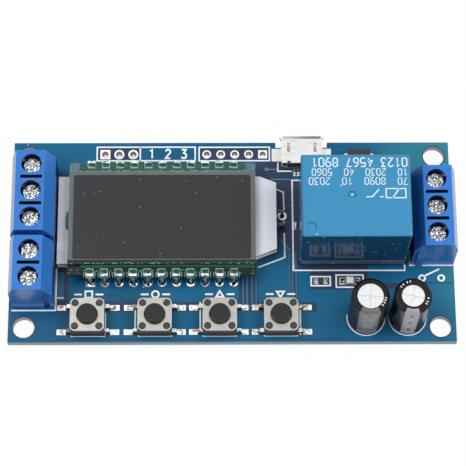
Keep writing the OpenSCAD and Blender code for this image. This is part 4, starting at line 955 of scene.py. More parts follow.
def dome(middle, half, height, z, power=3.0, steps=24, rings=5):
    """A mound over a rounded rectangle: its outline is a superellipse, and its height falls as 1 - s
    squared."""
    angle = np.linspace(0, 2 * np.pi, steps, endpoint=False)[:, None]
    s = np.linspace(1, 0, rings)
    wide = np.sign(np.cos(angle)) * np.abs(np.cos(angle)) ** (2 / power) * s
    deep = np.sign(np.sin(angle)) * np.abs(np.sin(angle)) ** (2 / power) * s
    tall = np.broadcast_to(z + height * (1 - s ** 2), wide.shape)
    return np.stack([middle[0] + half[0] * wide, middle[1] + half[1] * deep, tall], axis=2), True


def wall(start, end, low, high):
    """An upright ribbon over the line between two points."""
    foot = np.array([start, end], float)
    return np.stack([np.column_stack([foot, np.full(2, z)]) for z in (low, high)], axis=1), False


print("a dome has", dome((0, 0), (1, 1), 1, 0)[0].shape[:2], "points")

# %% [markdown]
# ## Bare fibre and traces
# Most of the board's top is one sheet of copper under the lacquer, which looks light. The dark parts
# are gaps in that sheet, where only fibre lies under the lacquer, and the thin light lines in them are
# traces; one dark strip, in the narrow gap between the first block and the display's tray, is painted
# shadow in the same dark finish. A drawing of the board could be projected on it, but strips a few
# hundredths of a millimetre high keep every edge sharp. Zones of one height meet edge to edge, because
# faces that overlap there would shade each other.

# %% Places on the board
BARE_UP = 0.010
TRACE_UP = 0.018
PAD_UP = 0.035
PAD_DOWN = 0.03
PRINT_UP = 0.050
FILM = 0.03
PIN_COUNT = 11
PIN_PITCH = 2.54
PIN_HALF = 0.125
HEADER_Y = 16.7
HEADER_STARTS = (-22.95, -4.5)
HEADER_COUNTS = (3, 5)
HEADER_PADS = (0.91, 0.81)
HEADER_RIMS = (0.62, 0.55)
HEADER_HOLE = 0.5


def middle_mm(name):
    """The middle of a node's box in mm."""
    return sum(box_mm(name)) / 2


UNDER, TOP = [corner[2] for corner in box_mm("board")]
BARE_Z = TOP + BARE_UP
TRACE_Z = TOP + TRACE_UP
PAD_Z = TOP + PAD_UP
PRINT_Z = TOP + PRINT_UP
pins_low, pins_high = box_mm("lcd_pins")
pin_x = (pins_low[0] + pins_high[0]) / 2 + PIN_PITCH * (np.arange(PIN_COUNT) - (PIN_COUNT - 1) / 2)
low_row = pins_low[1] + PIN_HALF
high_row = pins_high[1] - PIN_HALF
header_x = np.concatenate([x + PIN_PITCH * np.arange(n) for x, n in zip(HEADER_STARTS, HEADER_COUNTS)])
header_pad = np.repeat(HEADER_PADS, HEADER_COUNTS)
header_rim = np.repeat(HEADER_RIMS, HEADER_COUNTS)
holes = frame["record"]["mounts"][0]["dims"]
HOLE_R = holes["hole_r_mm"]
hole_places = SQUARE * (holes["spacing_x_mm"] / 2, holes["spacing_y_mm"] / 2)
buttons = [middle_mm(name)[:2] for name in numbered("button_plunger", 4)]
print("pin rows at", round(low_row, 2), round(high_row, 2), "buttons", [round(x, 2) for x, _ in buttons])

# %% Bare fibre
BARE_ZONES = [
    ((4.4, -0.9), (10.9, 15.3)), ((10.9, -5.7), (24.1, 11.6)), ((13.9, -9.3), (24.1, -5.7)),
    ((-31.3, -13.3), (5.7, -11.6)), ((12.3, -13.5), (14.9, -11.7)), ((1.2, -11.6), (4.6, -6.5)),
    ((10.0, -11.6), (10.9, -0.9)), ((10.9, -11.6), (11.7, -5.7)), ((-31.3, -11.6), (-29.1, -5.6)),
    ((24.1, -9.3), (31.0, -8.1)),
]
BARE_LINES = [
    [(-22.3, -10.3), (-20.2, -10.4), (-18.5, -11.5), (-16.9, -11.5)],
    [(-22.0, -11.5), (-20.3, -11.5), (-20.2, -11.55)],
    [(-31.0, -18.5), (20.0, -18.5)],
    [(-35.7, -13.9), (-34.2, -15.4), (-34.2, -18.3)],
    [(31.4, -8.1), (39.2, -8.1)],
]
BARE_LINE_W = 0.16
UNDER_BLOCK = 0.6
UNDER_TAB = 0.8
HOLE_CLEAR = 0.03
HOLE_BARE = 0.20

bare = film("bare fibre", (44, 58, 88), {"Drift": 0.25, "Drift Scale": 500.0, "Relief": 0.2},
            Roughness=0.33, Specular_IOR_Level=0.25)
# The zone in the narrow gap between the first block and the tray's tab is painted shadow in the bare
# finish.
tab_low, tab_high = box_mm("backlight_tray")
block_edge = box_mm("terminal_housing_1")[1][0]
gap_shade_zone = ((block_edge - UNDER_BLOCK, tab_low[1]), (tab_low[0] + UNDER_TAB, tab_high[1]))
sheets = [plate(low, high, BARE_Z) for low, high in [*BARE_ZONES, gap_shade_zone]]
sheets += [strip(path, BARE_LINE_W, BARE_Z) for path in BARE_LINES]
sheets += [ring((x, HEADER_Y), rim, PIN_PITCH / 2, BARE_Z, square=True)
           for x, rim in zip(header_x, header_rim)]
sheets += [ring(place, HOLE_R + HOLE_CLEAR, HOLE_R + HOLE_BARE, BARE_Z) for place in hole_places]
add_piece("bare_fibre", sheets, bare, FILM)

# %% Traces
TRACES = [(0.30, [(x, -6.5), (x, -12.0)]) for x in (1.95, 2.66, 3.55, 4.26)]
TRACES += [(0.28, [(x, -2.2), (x, -11.3)]) for x in (10.2, 10.73, 11.4)]
TRACES += [
    (0.12, [(9.6, 6.7), (12.3, 6.7)]), (0.12, [(26.1, -18.1), (33.8, -18.1)]),
    (0.12, [(11.7, -6.4), (13.6, -6.4)]), (0.5, [(8.6, 0.2), (10.45, -1.95)]),
    (1.1, [(-30.4, -5.9), (-30.4, -11.3)]), (0.4, [(-10.8, -12.4), (-5.4, -12.4)]),
    (0.4, [(0.8, -12.4), (5.6, -12.4)]),
]
THIN_TRACES = [[(6.96, 11.79), (10.8, 11.79)], [(6.64, 13.75), (8.4, 13.75)]]
THIN_W = 0.12
VIA = (6.34, 13.75)
VIA_R = (0.18, 0.32)

trace_blue = film("lacquered copper", (52, 112, 148), {"Drift": 0.15}, Roughness=0.33,
                  Specular_IOR_Level=0.25)
sheets = [strip(path, width, TRACE_Z) for width, path in TRACES]
add_piece("copper_traces", sheets, trace_blue, FILM)
trace_pale = film("thin lacquer", (128, 176, 208), {"Drift": 0.15}, Roughness=0.33,
                  Specular_IOR_Level=0.25)
sheets = [strip(path, THIN_W, TRACE_Z) for path in THIN_TRACES]
sheets += [ring(VIA, *VIA_R, TRACE_Z)]
add_piece("thin_traces", sheets, trace_pale, FILM)

# %% [markdown]
# ## Pads and solder
# Each hole is lined with tin from pad to pad like a rivet, so the bare header holes are one profile
# turned about the hole's axis. Soldered pins have a fillet that climbs the pin, which could be
# sculpted, but a turned profile is smoother and has fewer faces. On the flat pads of the small parts
# the solder is a low mound.

# %% Hole linings
BORE_WALL = 0.02
BORE_LIP = 0.006
BORE_TAPER = 0.1

# The lining's tin is darker than the pads' tin, as painted shade inside the hole.
lining = metal("hole lining", (128, 122, 118),
               {"Scale": 1200.0, "Drift": 0.4, "Roughness": 0.45, "Relief": 0.5})
bore_r = HEADER_HOLE - BORE_WALL
bore = [(HEADER_HOLE, TOP + BORE_LIP), (bore_r, TOP - BORE_TAPER), (bore_r, UNDER + BORE_TAPER),
        (HEADER_HOLE, UNDER - BORE_LIP)]
sheets = [revolve([(rim, PAD_Z), *bore, (rim, UNDER - PAD_DOWN)], (x, HEADER_Y))
          for x, rim in zip(header_x, header_rim)]
add_piece("hole_linings", sheets, lining, smooth=True)

# %% Pads round holes
ROW_PAD_R = 0.82
ROW_HOLE_R = 0.25
LOW_PAD_SHIFT = 0.05
LIGHT_PAD = (9.05, 4.66)
LIGHT_PAD_R = (0.45, 0.82)

pad_tin = metal("pad tin", (214, 215, 214),
                {"Scale": 1200.0, "Drift": 0.3, "Roughness": 0.42, "Relief": 0.5})
low_pads = low_row + LOW_PAD_SHIFT
pads = [ring(LIGHT_PAD, *LIGHT_PAD_R, PAD_Z)]
for x, rim, pad in zip(header_x, header_rim, header_pad):
    marked = x in header_x[[0, -1]]
    pads += [ring((x, HEADER_Y), rim, pad, PAD_Z, square=marked)]
    pads += [below(ring((x, HEADER_Y), rim, pad, UNDER - PAD_DOWN, square=marked))]
for x in pin_x:
    pads += [ring((x, low_pads), ROW_HOLE_R, ROW_PAD_R, PAD_Z, square=x == pin_x[0])]
    pads += [ring((x, high_row), ROW_HOLE_R, ROW_PAD_R, PAD_Z)]
print(len(pads), "round pads")

# %% Flat pads
LEAD_SPREAD = 2.25
PAD_FROM = 3.9
PAD_TO = 5.5
PAD_GAP = 0.3
PAD_HALF = 0.5
PAD_LAP = 0.4
TAIL_PITCH = 0.65
TAIL_COUNT = 5
TAIL_PAD_HALF = 0.2
TAIL_PAD_OUT = 0.35
TAIL_PAD_IN = 0.9
SMALL_PADS = (("chip_resistor", 0.45, 0.5), ("status_light", 0.85, 0.65), ("flyback_diode", 0.35, 0.8))

room = np.diff([x for x, _ in buttons]) / 2 - PAD_GAP
room = np.minimum(np.concatenate([[PAD_TO], room, [PAD_TO]]), PAD_TO)
for (x, y), before, after in zip(buttons, room[:-1], room[1:]):
    for row in (y - LEAD_SPREAD, y + LEAD_SPREAD):
        pads += [plate((x - before, row - PAD_HALF), (x - PAD_FROM, row + PAD_HALF), PAD_Z)]
        pads += [plate((x + PAD_FROM, row - PAD_HALF), (x + after, row + PAD_HALF), PAD_Z)]
socket_x = middle_mm("usb_shell")[0]
tail_x = socket_x + TAIL_PITCH * (np.arange(TAIL_COUNT) - (TAIL_COUNT - 1) / 2)
tail_y = box_mm("usb_contacts")[0][1]
pads += [plate((x - TAIL_PAD_HALF, tail_y - TAIL_PAD_OUT), (x + TAIL_PAD_HALF, tail_y + TAIL_PAD_IN), PAD_Z)
         for x in tail_x]
for node, reach, half in SMALL_PADS:
    low, high = box_mm(node)
    y = (low[1] + high[1]) / 2
    pads += [plate((low[0] - reach, y - half), (low[0] + PAD_LAP, y + half), PAD_Z)]
    pads += [plate((high[0] - PAD_LAP, y - half), (high[0] + reach, y + half), PAD_Z)]
add_piece("solder_pads", pads, pad_tin)

# %% Solder fillets and mounds
FILLET_R = 0.72
FILLET_TIP = 0.28
FILLET_UP = 0.5
SQUARE_HALF = (0.76, 0.76)
SQUARE_UP = 0.2
MOUND_X = 4.55
MOUND_HALF = (0.48, 0.44)
MOUND_UP = 0.12
SMALL_MOUNDS = (("chip_resistor", 0.13, (0.30, 0.42), 0.3), ("status_light", 0.23, (0.53, 0.55), 0.3),
                ("flyback_diode", 0.0, (0.45, 0.60), 1.5))


def fillet(middle, radius, tip, height):
    """A turned profile that climbs as the square of the way from the pad's edge to the pin."""
    s = np.linspace(0, 1, 6)
    return revolve(np.stack([radius + (tip - radius) * s, PAD_Z + height * s ** 2], axis=1), middle)


# The dark second colour is a painted reflection of the mound's tiny facets.
mound_solder = speckled("solder mound", (236, 237, 236), (48, 48, 52),
                        {"Scale": 1700.0, "Level": 0.5, "Softness": 0.06}, Roughness=0.26)
sheets = [fillet((x, row), FILLET_R, FILLET_TIP, FILLET_UP)
          for x in pin_x for row in (low_pads, high_row)]
sheets += [dome((pin_x[0], low_pads), SQUARE_HALF, SQUARE_UP, PAD_Z, power=8.0)]
sheets += [dome((x + side * MOUND_X, y + up * LEAD_SPREAD), MOUND_HALF, MOUND_UP, PAD_Z)
           for x, y in buttons for up in (-1, 1) for side in (-1, 1)]
for node, out, half, rise in SMALL_MOUNDS:
    low, high = box_mm(node)
    y = (low[1] + high[1]) / 2
    sheets += [dome((x, y), half, rise, PAD_Z) for x in (low[0] - out, high[0] + out)]
add_piece("solder_mounds", sheets, mound_solder, smooth=True)

# %% Solder beads
TAIL_IN = 0.2
TAIL_HALF = (0.24, 0.36)
TAIL_UP = 0.35
RELAY_BEAD = (11.45, 2.76)
RELAY_BEAD_HALF = (0.46, 0.8)
RELAY_BEAD_UP = 1.0

bead_solder = metal("bead solder", (240, 241, 241),
                    {"Scale": 1400.0, "Drift": 0.2, "Roughness": 0.45, "Relief": 0.6})
beads = [dome((x, tail_y + TAIL_IN), TAIL_HALF, TAIL_UP, PAD_Z) for x in tail_x]
beads += [dome(RELAY_BEAD, RELAY_BEAD_HALF, RELAY_BEAD_UP, TOP)]
add_piece("solder_beads", beads, bead_solder, smooth=True)

# %% [markdown]
# ## Socket's back edge
# The shell is folded from one sheet round the black moulding, which shows through two latch windows at
# the back of its roof, and two tabs stand beside the back. They could be cut into the solid, but they
# are only tenths of a millimetre large, so a flat ribbon or an upright one with a thickness is enough.

# %% Latches and tabs
SHELL_UP = 2.5
LATCH_X = 2.35
LATCH_W = 0.55
LATCH_IN = 0.38
LATCH_UP = 0.012
LATCH_T = 0.01
TAB_FROM = 2.65
TAB_TO = 3.55
TAB_OUT = 0.03
TAB_UP = (0.7, 1.15)

back_y = box_mm("usb_insulator")[0][1]
latch_x = socket_x + LATCH_X * np.array((-1, 1))
latch_z = TOP + SHELL_UP + LATCH_UP
sheets = [plate((x - LATCH_W / 2, back_y), (x + LATCH_W / 2, back_y + LATCH_IN), latch_z)
          for x in latch_x]
add_piece("socket_latches", sheets, socket_black, LATCH_T)
tab_y = back_y - TAB_OUT
sheets = [wall((socket_x + start, tab_y), (socket_x + end, tab_y), *np.add(TOP, TAB_UP))
          for start, end in ((-TAB_TO, -TAB_FROM), (TAB_FROM, TAB_TO))]
add_piece("socket_tabs", sheets, shell, FILM)

# %% [markdown]
# ## White print
# The print draws lines round some parts and labels the buttons. A part for sharing has plain labels:
# the buttons have a square, a ring and two triangles, the load's terminal has the sign of a switch, and
# the header has numbers. A font could draw the digits, but strokes on a grid one wide and two high, as
# a plotter would draw them, are the same strips as everything else.

# %% Digits
ROUND_0 = [(0.3, 0), (0.7, 0), (1, 0.3), (1, 1.7), (0.7, 2), (0.3, 2), (0, 1.7), (0, 0.3), (0.3, 0)]
ROUND_6 = [(0.9, 2), (0.5, 2), (0, 1.3), (0, 0.3), (0.3, 0), (0.7, 0), (1, 0.3), (1, 0.8), (0.7, 1.1),
           (0, 1.1)]
DIGITS = {
    "0": [ROUND_0],
    "1": [[(0.1, 1.6), (0.55, 2), (0.55, 0)]],
    "2": [[(0, 1.6), (0.3, 2), (0.7, 2), (1, 1.7), (1, 1.3), (0, 0), (1, 0)]],
    "3": [[(0, 2), (0.95, 2), (0.5, 1.2), (0.8, 1.1), (1, 0.8), (1, 0.3), (0.7, 0), (0.3, 0), (0, 0.3)]],
    "4": [[(1, 0.6), (0, 0.6), (0.65, 2)], [(0.75, 1.2), (0.75, 0)]],
    "5": [[(0.95, 2), (0.1, 2), (0, 1.1), (0.7, 1.2), (1, 0.9), (1, 0.3), (0.7, 0), (0, 0)]],
    "6": [ROUND_6],
    "7": [[(0, 2), (1, 2), (0.35, 0)]],
    "8": [[(0.3, 1.1), (0, 1.4), (0, 1.7), (0.3, 2), (0.7, 2), (1, 1.7), (1, 1.4), (0.7, 1.1), (0.3, 1.1),
           (0, 0.8), (0, 0.3), (0.3, 0), (0.7, 0), (1, 0.3), (1, 0.8), (0.7, 1.1)]],
    "9": [[(1 - x, 2 - y) for x, y in ROUND_6]],
}
DIGIT_STEP = 1.5


def write(text, height, start, weight, z, turn=1):
    """Digits side by side as strips, scaled from their grid to a height; anything else in the text
    leaves a gap of one digit. A turn of -1 writes upside down, and one of (1, -1) writes to be read
    from below."""
    scale = np.asarray(turn) * height / 2
    return [strip(start + scale * (np.array(stroke) + (i * DIGIT_STEP, 0)), weight, z)
            for i, sign in enumerate(text) for stroke in DIGITS.get(sign, [])]


print(len(DIGITS), "digits")

# %% Print on the board
INK_W = 0.28
BOLD_W = 0.34
HEADER_BOXES = [((-24.43, 15.46), (-6.62, 18.14)), ((-5.89, 15.44), (6.90, 18.10))]
HEADER_NUMBERS = "123"
NUMBER_H = 1.7
NUMBER_START = (-14.9, 15.95)
NUMBER_STEP = 2.9
INK_LINES = [
    [(-16.6, 15.46), (-16.6, 18.14)],
    [(12.93, 11.58), (10.94, 11.58), (10.94, -5.70), (30.75, -5.74), (30.75, -4.6)],
    [(7.77, 9.99), (9.33, 9.27), (9.41, 5.75)], [(9.41, 3.6), (9.41, 3.3)],
    [(9.41, 1.4), (9.43, -3.23), (8.39, -3.67), (4.63, -5.13)],
    [(-39.0, -13.1), (-31.2, -13.1), (-31.2, -5.26), (-29.19, -5.26)], [(-31.0, -10.77), (-29.76, -10.77)],
    [(31.7, -1.9), (31.7, -4.8), (39.35, -4.8)], [(8.41, 15.08), (8.39, 13.37), (10.97, 13.37)],
    [(-17.1, -13.0), (-17.1, -16.4)], [(-5.64, -11.6), (-5.64, -16.8)], [(12.0, -12.65), (12.0, -17.74)],
    [(-22.4, -13.6), (-22.4, -17.6)],
]
BASE_LINE_HALF = 3.0
BASE_LINE_DOWN = 2.95
PART_FRAMES = (("chip_resistor", (0.9, 0.45)), ("status_light", (1.4, 0.52)))

ink = film("white ink", (246, 248, 250), {"Drift": 0.10, "Drift Scale": 900.0, "Relief": 0.3},
           Roughness=0.55)
prints = [box_outline(low, high, INK_W, PRINT_Z) for low, high in HEADER_BOXES]
prints += [strip(path, INK_W, PRINT_Z) for path in INK_LINES]
for x, y in buttons:
    line_y = y - BASE_LINE_DOWN
    prints += [strip([(x - BASE_LINE_HALF, line_y), (x + BASE_LINE_HALF, line_y)], INK_W, PRINT_Z)]
for i, digit in enumerate(HEADER_NUMBERS):
    prints += write(digit, NUMBER_H, np.add(NUMBER_START, (NUMBER_STEP * i, 0)), BOLD_W, PRINT_Z)
for node, margin in PART_FRAMES:
    low, high = box_mm(node)
    prints += [box_outline(low[:2] - margin, high[:2] + margin, INK_W, PRINT_Z)]
print("board print", len(prints), "strips")

# %% Labels
ICON_Y = -10.15
ICON_HALF = 0.6
TRIANGLE = np.array([(-1.1, -0.8), (1.1, -0.8), (0, 1)])
DASH = (1.2, 2.6)
SWITCH_ENDS = np.array([(33.8, -7.2), (37.2, -7.2)])
SWITCH_R = (0.35, 0.7)
BLADE = np.array([(0.45, 0.4), (-0.3, 1.7)])
FOOT_GAP = 0.06
FOOT_DEG = (170, 370)
FOOT_W = 0.2

square_at, ring_at, up_at, down_at = [(x, ICON_Y) for x, _ in buttons]
for middle, outline in ((square_at, SQUARE), (up_at, TRIANGLE), (down_at, TRIANGLE * (1, -1))):
    prints += [strip(middle + ICON_HALF * outline, BOLD_W, PRINT_Z, closed=True)]
prints += [ring(ring_at, ICON_HALF - BOLD_W / 2, ICON_HALF + BOLD_W / 2, PRINT_Z)]
prints += [strip([(x + side * DASH[0], ICON_Y), (x + side * DASH[1], ICON_Y)], BOLD_W, PRINT_Z)
           for x, _ in buttons for side in (-1, 1)]
prints += [ring(place, *SWITCH_R, PRINT_Z) for place in SWITCH_ENDS]
prints += [strip(SWITCH_ENDS + BLADE, BOLD_W, PRINT_Z)]
can_low, can_high = box_mm("capacitor_sleeves")
SLEEVE_R = (can_high[1] - can_low[1]) / 2
can_y = (can_low[1] + can_high[1]) / 2
can_x = (can_low[0] + SLEEVE_R, can_high[0] - SLEEVE_R)
prints += [strip(arc((x, can_y), SLEEVE_R + FOOT_GAP, *FOOT_DEG, 40), FOOT_W, PRINT_Z) for x in can_x]
add_piece("board_print", prints, ink, FILM)

# %% [markdown]
# ## Snap domes
# Under each plunger a thin steel dome snaps flat when the button is pressed, and springs back. The
# packed dome is rigid, so a pressed plunger would cut through it. A turned cap of the same size stands
# in for it.

# %% Snap domes
DOME_T = 0.1
DOME_POINTS = 14
DOME_STEPS = 48


def snap_dome(middle, rim, height, z):
    """A cap cut from a hollow ball, as two turned arcs: the outer one from the rim up to the pole, and
    the inner one from the pole down and out to the rim again. The ball's radius follows from the cap's
    rim and height."""
    ball = (rim ** 2 + height ** 2) / (2 * height)
    drop = ball - height
    inner_rim = np.sqrt((ball - DOME_T) ** 2 - drop ** 2)
    outer = np.linspace(rim, 0, DOME_POINTS)
    inner = np.linspace(0, inner_rim, DOME_POINTS)
    outside = np.stack([outer, z - drop + np.sqrt(ball ** 2 - outer ** 2)], axis=1)
    inside = np.stack([inner, z - drop + np.sqrt((ball - DOME_T) ** 2 - inner ** 2)], axis=1)
    closing = np.concatenate([inside, outside[:1]])
    return [revolve(outside, middle, DOME_STEPS), revolve(closing, middle, DOME_STEPS)]


for i in range(1, len(buttons) + 1):
    low, high = box_mm(f"button_dome_{i}")
    x, y = (low[:2] + high[:2]) / 2
    sheets = snap_dome((x, y), (high[0] - low[0]) / 2, high[2] - low[2], low[2])
    piece = add_piece(f"snap_dome_{i}", sheets, button_plate, smooth=True)
    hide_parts(f"button_dome_{i}")
    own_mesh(piece)

# %% [markdown]
# ## Underside
# The photo doesn't show the underside, so its tracks are a guess that would work: two fans run from the
# controller to the rows of display pins, and broad straps carry the load from the relay to its
# terminal, both in gaps of the copper sheet. A plain blue face could do, but a part is turned over as
# soon as it is used, so the tracks are there: the same strips as above, with their faces turned down.

# %% Tracks below
LEADS = 10
LEAD_PITCH = 0.65
FAN_W = 0.3
FAN_OUT = 0.7
FAN_IN = (1.8, 0.6)
FAN_ZONE_OUT = 1.5
FAN_ZONE_IN = 0.9
STRAP_W = 2.2
STRAP_ZONE = ((11.4, -5.2), (33.6, 10.6))
STRAPS = [[(26.9, -3.1), (32.6, -2.1)], [(26.9, 8.5), (32.6, 7.9)], [(12.6, 2.8), (32.6, 2.8)]]

chip_low, chip_high = box_mm("controller_chip")
lead_x = middle_mm("controller_chip")[0] + LEAD_PITCH * (np.arange(LEADS) - (LEADS - 1) / 2)
fan_zone = ((pin_x[0] - FAN_ZONE_OUT, low_row + FAN_ZONE_IN),
            (pin_x[-1] + FAN_ZONE_OUT, high_row - FAN_ZONE_IN))
sheets = [below(plate(low, high, UNDER - BARE_UP)) for low, high in (fan_zone, STRAP_ZONE)]
add_piece("under_bare", sheets, bare, FILM)
tracks = [(STRAP_W, path) for path in STRAPS]
for chip_y, row, up in ((chip_low[1], low_row, -1), (chip_high[1], high_row, 1)):
    ends = [row - up * way for way in FAN_IN]
    tracks += [(FAN_W, [(a, chip_y), (a, chip_y + up * FAN_OUT), (b, ends[0]), (b, ends[1])])
               for a, b in zip(lead_x, pin_x)]
sheets = [below(strip(path, width, UNDER - TRACE_UP)) for width, path in tracks]
add_piece("under_traces", sheets, trace_blue, FILM)

# %% Print below
CHIP_MARGIN = 0.5
CHIP_NUMBER_H = 1.4
CHIP_NUMBER_AT = (0.5, 1.5)

sheets = []
for i, node in enumerate(("controller_chip", "regulator_chip", "driver_chip"), 1):
    low, high = box_mm(node)
    low, high = low[:2] - CHIP_MARGIN, high[:2] + CHIP_MARGIN
    place = np.add((high[0], low[1]), CHIP_NUMBER_AT)
    sheets += [box_outline(low, high, INK_W, UNDER - PRINT_UP)]
    sheets += write(str(i), CHIP_NUMBER_H, place, INK_W, UNDER - PRINT_UP, turn=(1, -1))
add_piece("under_print", [below(sheet) for sheet in sheets], ink, FILM)

# %% [markdown]
# ## Resin on the display pins
# Each clip pin is locked to the glass by green resin that sets under light, and a bead closes the port
# through which the liquid was filled. Green paint on the glass would do from afar, but the resin is
# clear and catches the light, so it is a real mound: a low ridge along the ledge, a bank that climbs
# the front glass and a drop on each clip's jaw. Pale rims by the drops and bright flecks along the glass
# edges are painted highlights, the glints of light on the resin's edges.

# %% Resin finishes
RESIN_GRAIN = {"Edge Radius": 0.0002, "Edge Share": 0.5, "Drift": 0.6, "Drift Scale": 900.0,
               "Grain Scale": 1400.0, "Relief": 0.6}


def resin_finish(name, colour, edge, clear, specular=0.5):
    """Clear resin: its colour drifts from deep to pale, and its rims take the edge colour: paler, as a
    painted highlight, and darker on the port seal.
    """
    finish, tree, shader = new_finish(name, Roughness=0.12, IOR=1.48, Transmission_Weight=clear,
                                      Specular_IOR_Level=specular)
    values = {"Color": linear(*colour), "Edge Color": linear(*edge), **RESIN_GRAIN}
    connect(tree, add_group(tree, MOULDED_GRAIN, values), shader)
    return finish


deep_resin = resin_finish("deep resin", (5, 34, 28), (40, 110, 90), 0.3, 0.2)
bank_resin = resin_finish("bank resin", (16, 84, 66), (70, 150, 124), 0.3, 0.3)
pale_resin = resin_finish("pale resin", (36, 96, 82), (120, 190, 168), 0.4)
drop_resin = resin_finish("green resin", (8, 58, 44), (60, 136, 108), 0.05)
# The resin rim finish paints the glints: its rims and flecks are painted highlights.
painted_resin_glint = resin_finish("resin rim", (150, 212, 188), (196, 236, 220), 0.2)
seal_resin = resin_finish("port seal", (96, 100, 100), (30, 32, 32), 0.4)
print("resin finishes", deep_resin.name, bank_resin.name, pale_resin.name, drop_resin.name)

# %% Ridges and bank
RIDGE_UP = 0.14
RESIN_BEFORE = 1.6
HIGH_PAST = 2.2
LOW_PAST = 0.15
LOW_OVER = 0.25
EDGE_IN = 0.2
BANK_FOOT = (0.6, 0.05)
BANK_GAP = 0.02
BANK_CREST = 0.74
SLOW_WAVE = (0.16, 2.47)
QUICK_WAVE = (0.10, 6.1)


def ridge(start, end, outer, inner):
    """A low resin ridge that fills one ledge beside the pins, from start to end in x."""
    middle = ((start + end) / 2, (outer + inner) / 2)
    half = ((end - start) / 2, abs(inner - outer) / 2)
    return [dome(middle, half, RIDGE_UP, ledge_z, power=10.0, steps=64)]


def bank(low, high, foot, top):
    """Resin that climbs the front glass's edge: a quarter wave from foot to top, whose crest rises and
    falls in x by the sum of a slow and a quick wave."""
    x, s = np.meshgrid(np.linspace(low, high, 160), np.linspace(0, 1, 7), indexing="ij")
    crest = BANK_CREST + SLOW_WAVE[0] * np.sin(SLOW_WAVE[1] * x)
    crest = crest + QUICK_WAVE[0] * np.sin(QUICK_WAVE[1] * x + 1.0)
    y = foot[0] + (top[0] - foot[0]) * np.sin(s * np.pi / 2)
    z = foot[1] + (top[1] - foot[1]) * crest * (1 - np.cos(s * np.pi / 2))
    return [(np.stack([x, y, z], axis=2), False)]


rear_low, rear_high = box_mm("lcd_rear_glass")
front_low, front_high = box_mm("lcd_front_glass")
ledge_z = rear_high[2]
edge_low, edge_high = rear_low[0] + EDGE_IN, rear_high[0] - EDGE_IN
resin_start = pin_x[0] - RESIN_BEFORE
rear_middle = (rear_low[0] + rear_high[0]) / 2
high_half = (pin_x[-1] - pin_x[0]) / 2 + HIGH_PAST
low_ridge = ridge(resin_start, edge_high + LOW_PAST, rear_low[1] - LOW_OVER, front_low[1])
add_piece("resin_ridge_low", low_ridge, deep_resin, smooth=True)
high_ridge = ridge(rear_middle - high_half, rear_middle + high_half, rear_high[1], front_high[1])
add_piece("resin_ridge_high", high_ridge, pale_resin, smooth=True)
bank_foot = (front_low[1] - BANK_FOOT[0], ledge_z + BANK_FOOT[1])
bank_top = (front_low[1] - BANK_GAP, front_high[2])
add_piece("resin_bank", bank(resin_start, edge_high, bank_foot, bank_top), bank_resin, smooth=True)

# %% Drops on the jaws
JAW_IN = 0.64
JAW_HALF = (0.74, 0.38)
JAW_UP = 0.12
JAW_SUNK = 0.02

drops = [dome((x, row), JAW_HALF, JAW_UP, pins_high[2] - JAW_SUNK, power=6.0)
         for row in (low_row + JAW_IN, high_row - JAW_IN) for x in pin_x]
add_piece("resin_drops", drops, drop_resin, smooth=True)

# %% Rims and flecks
RIM_IN = 0.15
RIM_R = 1.02
RIM_W = 0.09
RIM_HALF_DEG = 30
RIM_UP = 0.17
LINE_IN = 1.16
LINE_HALF = 0.68
LINE_W = (0.16, 0.24)
LINE_UP = (0.02, 0.2)
RIM_T = 0.08
FLECK_W = 0.08
FLECK_UP = 0.02
FLECK_REACH = (0.05, 0.28)
FLECK_SLANT = 0.05
FLECK_BANDS = [(70, (-0.15, 0.12), 3), (45, (-0.05, 0.15), 8), (50, (0.0, 0.9), 5)]


def flecks(count, low, high, z, seed):
    """Short bright threads scattered over a strip, as painted glints, with places, lengths and slants
    drawn from one seed."""
    chance = np.random.default_rng(seed)
    middle = chance.uniform(low, high, (count, 2))
    reach = np.stack([chance.uniform(*FLECK_REACH, count), chance.normal(0.0, FLECK_SLANT, count)], axis=1)
    return [strip([start, end], FLECK_W, z) for start, end in zip(middle - reach, middle + reach)]


rims = [strip(arc((x, low_row + RIM_IN), RIM_R, facing - RIM_HALF_DEG, facing + RIM_HALF_DEG, 10), RIM_W,
              ledge_z + RIM_UP) for x in pin_x for facing in (0, 180)]
line_rows = ((low_row + LINE_IN, pins_high[2] + LINE_UP[0]), (high_row - LINE_IN, ledge_z + LINE_UP[1]))
for (y, z), width in zip(line_rows, LINE_W):
    rims += [strip([(x - LINE_HALF, y), (x + LINE_HALF, y)], width, z) for x in pin_x]
glass_z = front_high[2] + FLECK_UP
fleck_edges = [(front_high[1], glass_z), (front_low[1], glass_z), (rear_low[1], ledge_z + RIM_UP)]
for (count, (low, high), seed), (y, z) in zip(FLECK_BANDS, fleck_edges):
    rims += flecks(count, (edge_low, y + low), (edge_high, y + high), z, seed)
add_piece("resin_rims", rims, painted_resin_glint, RIM_T)

# %% Port seal
SEAL_Y = 2.6
SEAL_OUT = 0.1
SEAL_HALF = (0.5, 1.8)
SEAL_UP = 1.0
SEAL_SUNK = 0.5

seal = [dome((front_low[0] - SEAL_OUT, SEAL_Y), SEAL_HALF, SEAL_UP, ledge_z - SEAL_SUNK)]
add_piece("fill_seal", seal, seal_resin, smooth=True)

# %% [markdown]
# ## Print on the capacitors and the relay
# A pale stripe marks the negative lead of each capacitor. A flat decal would cut through the groove, so
# the stripe follows the sleeve's own profile, round the groove and over the top edge, a hundredth of a
# millimetre above it. The score on the can's top lets it open safely. The relay carries rows of plain
# numbers, upside down to the reader, with the usual signs for a coil and a contact.

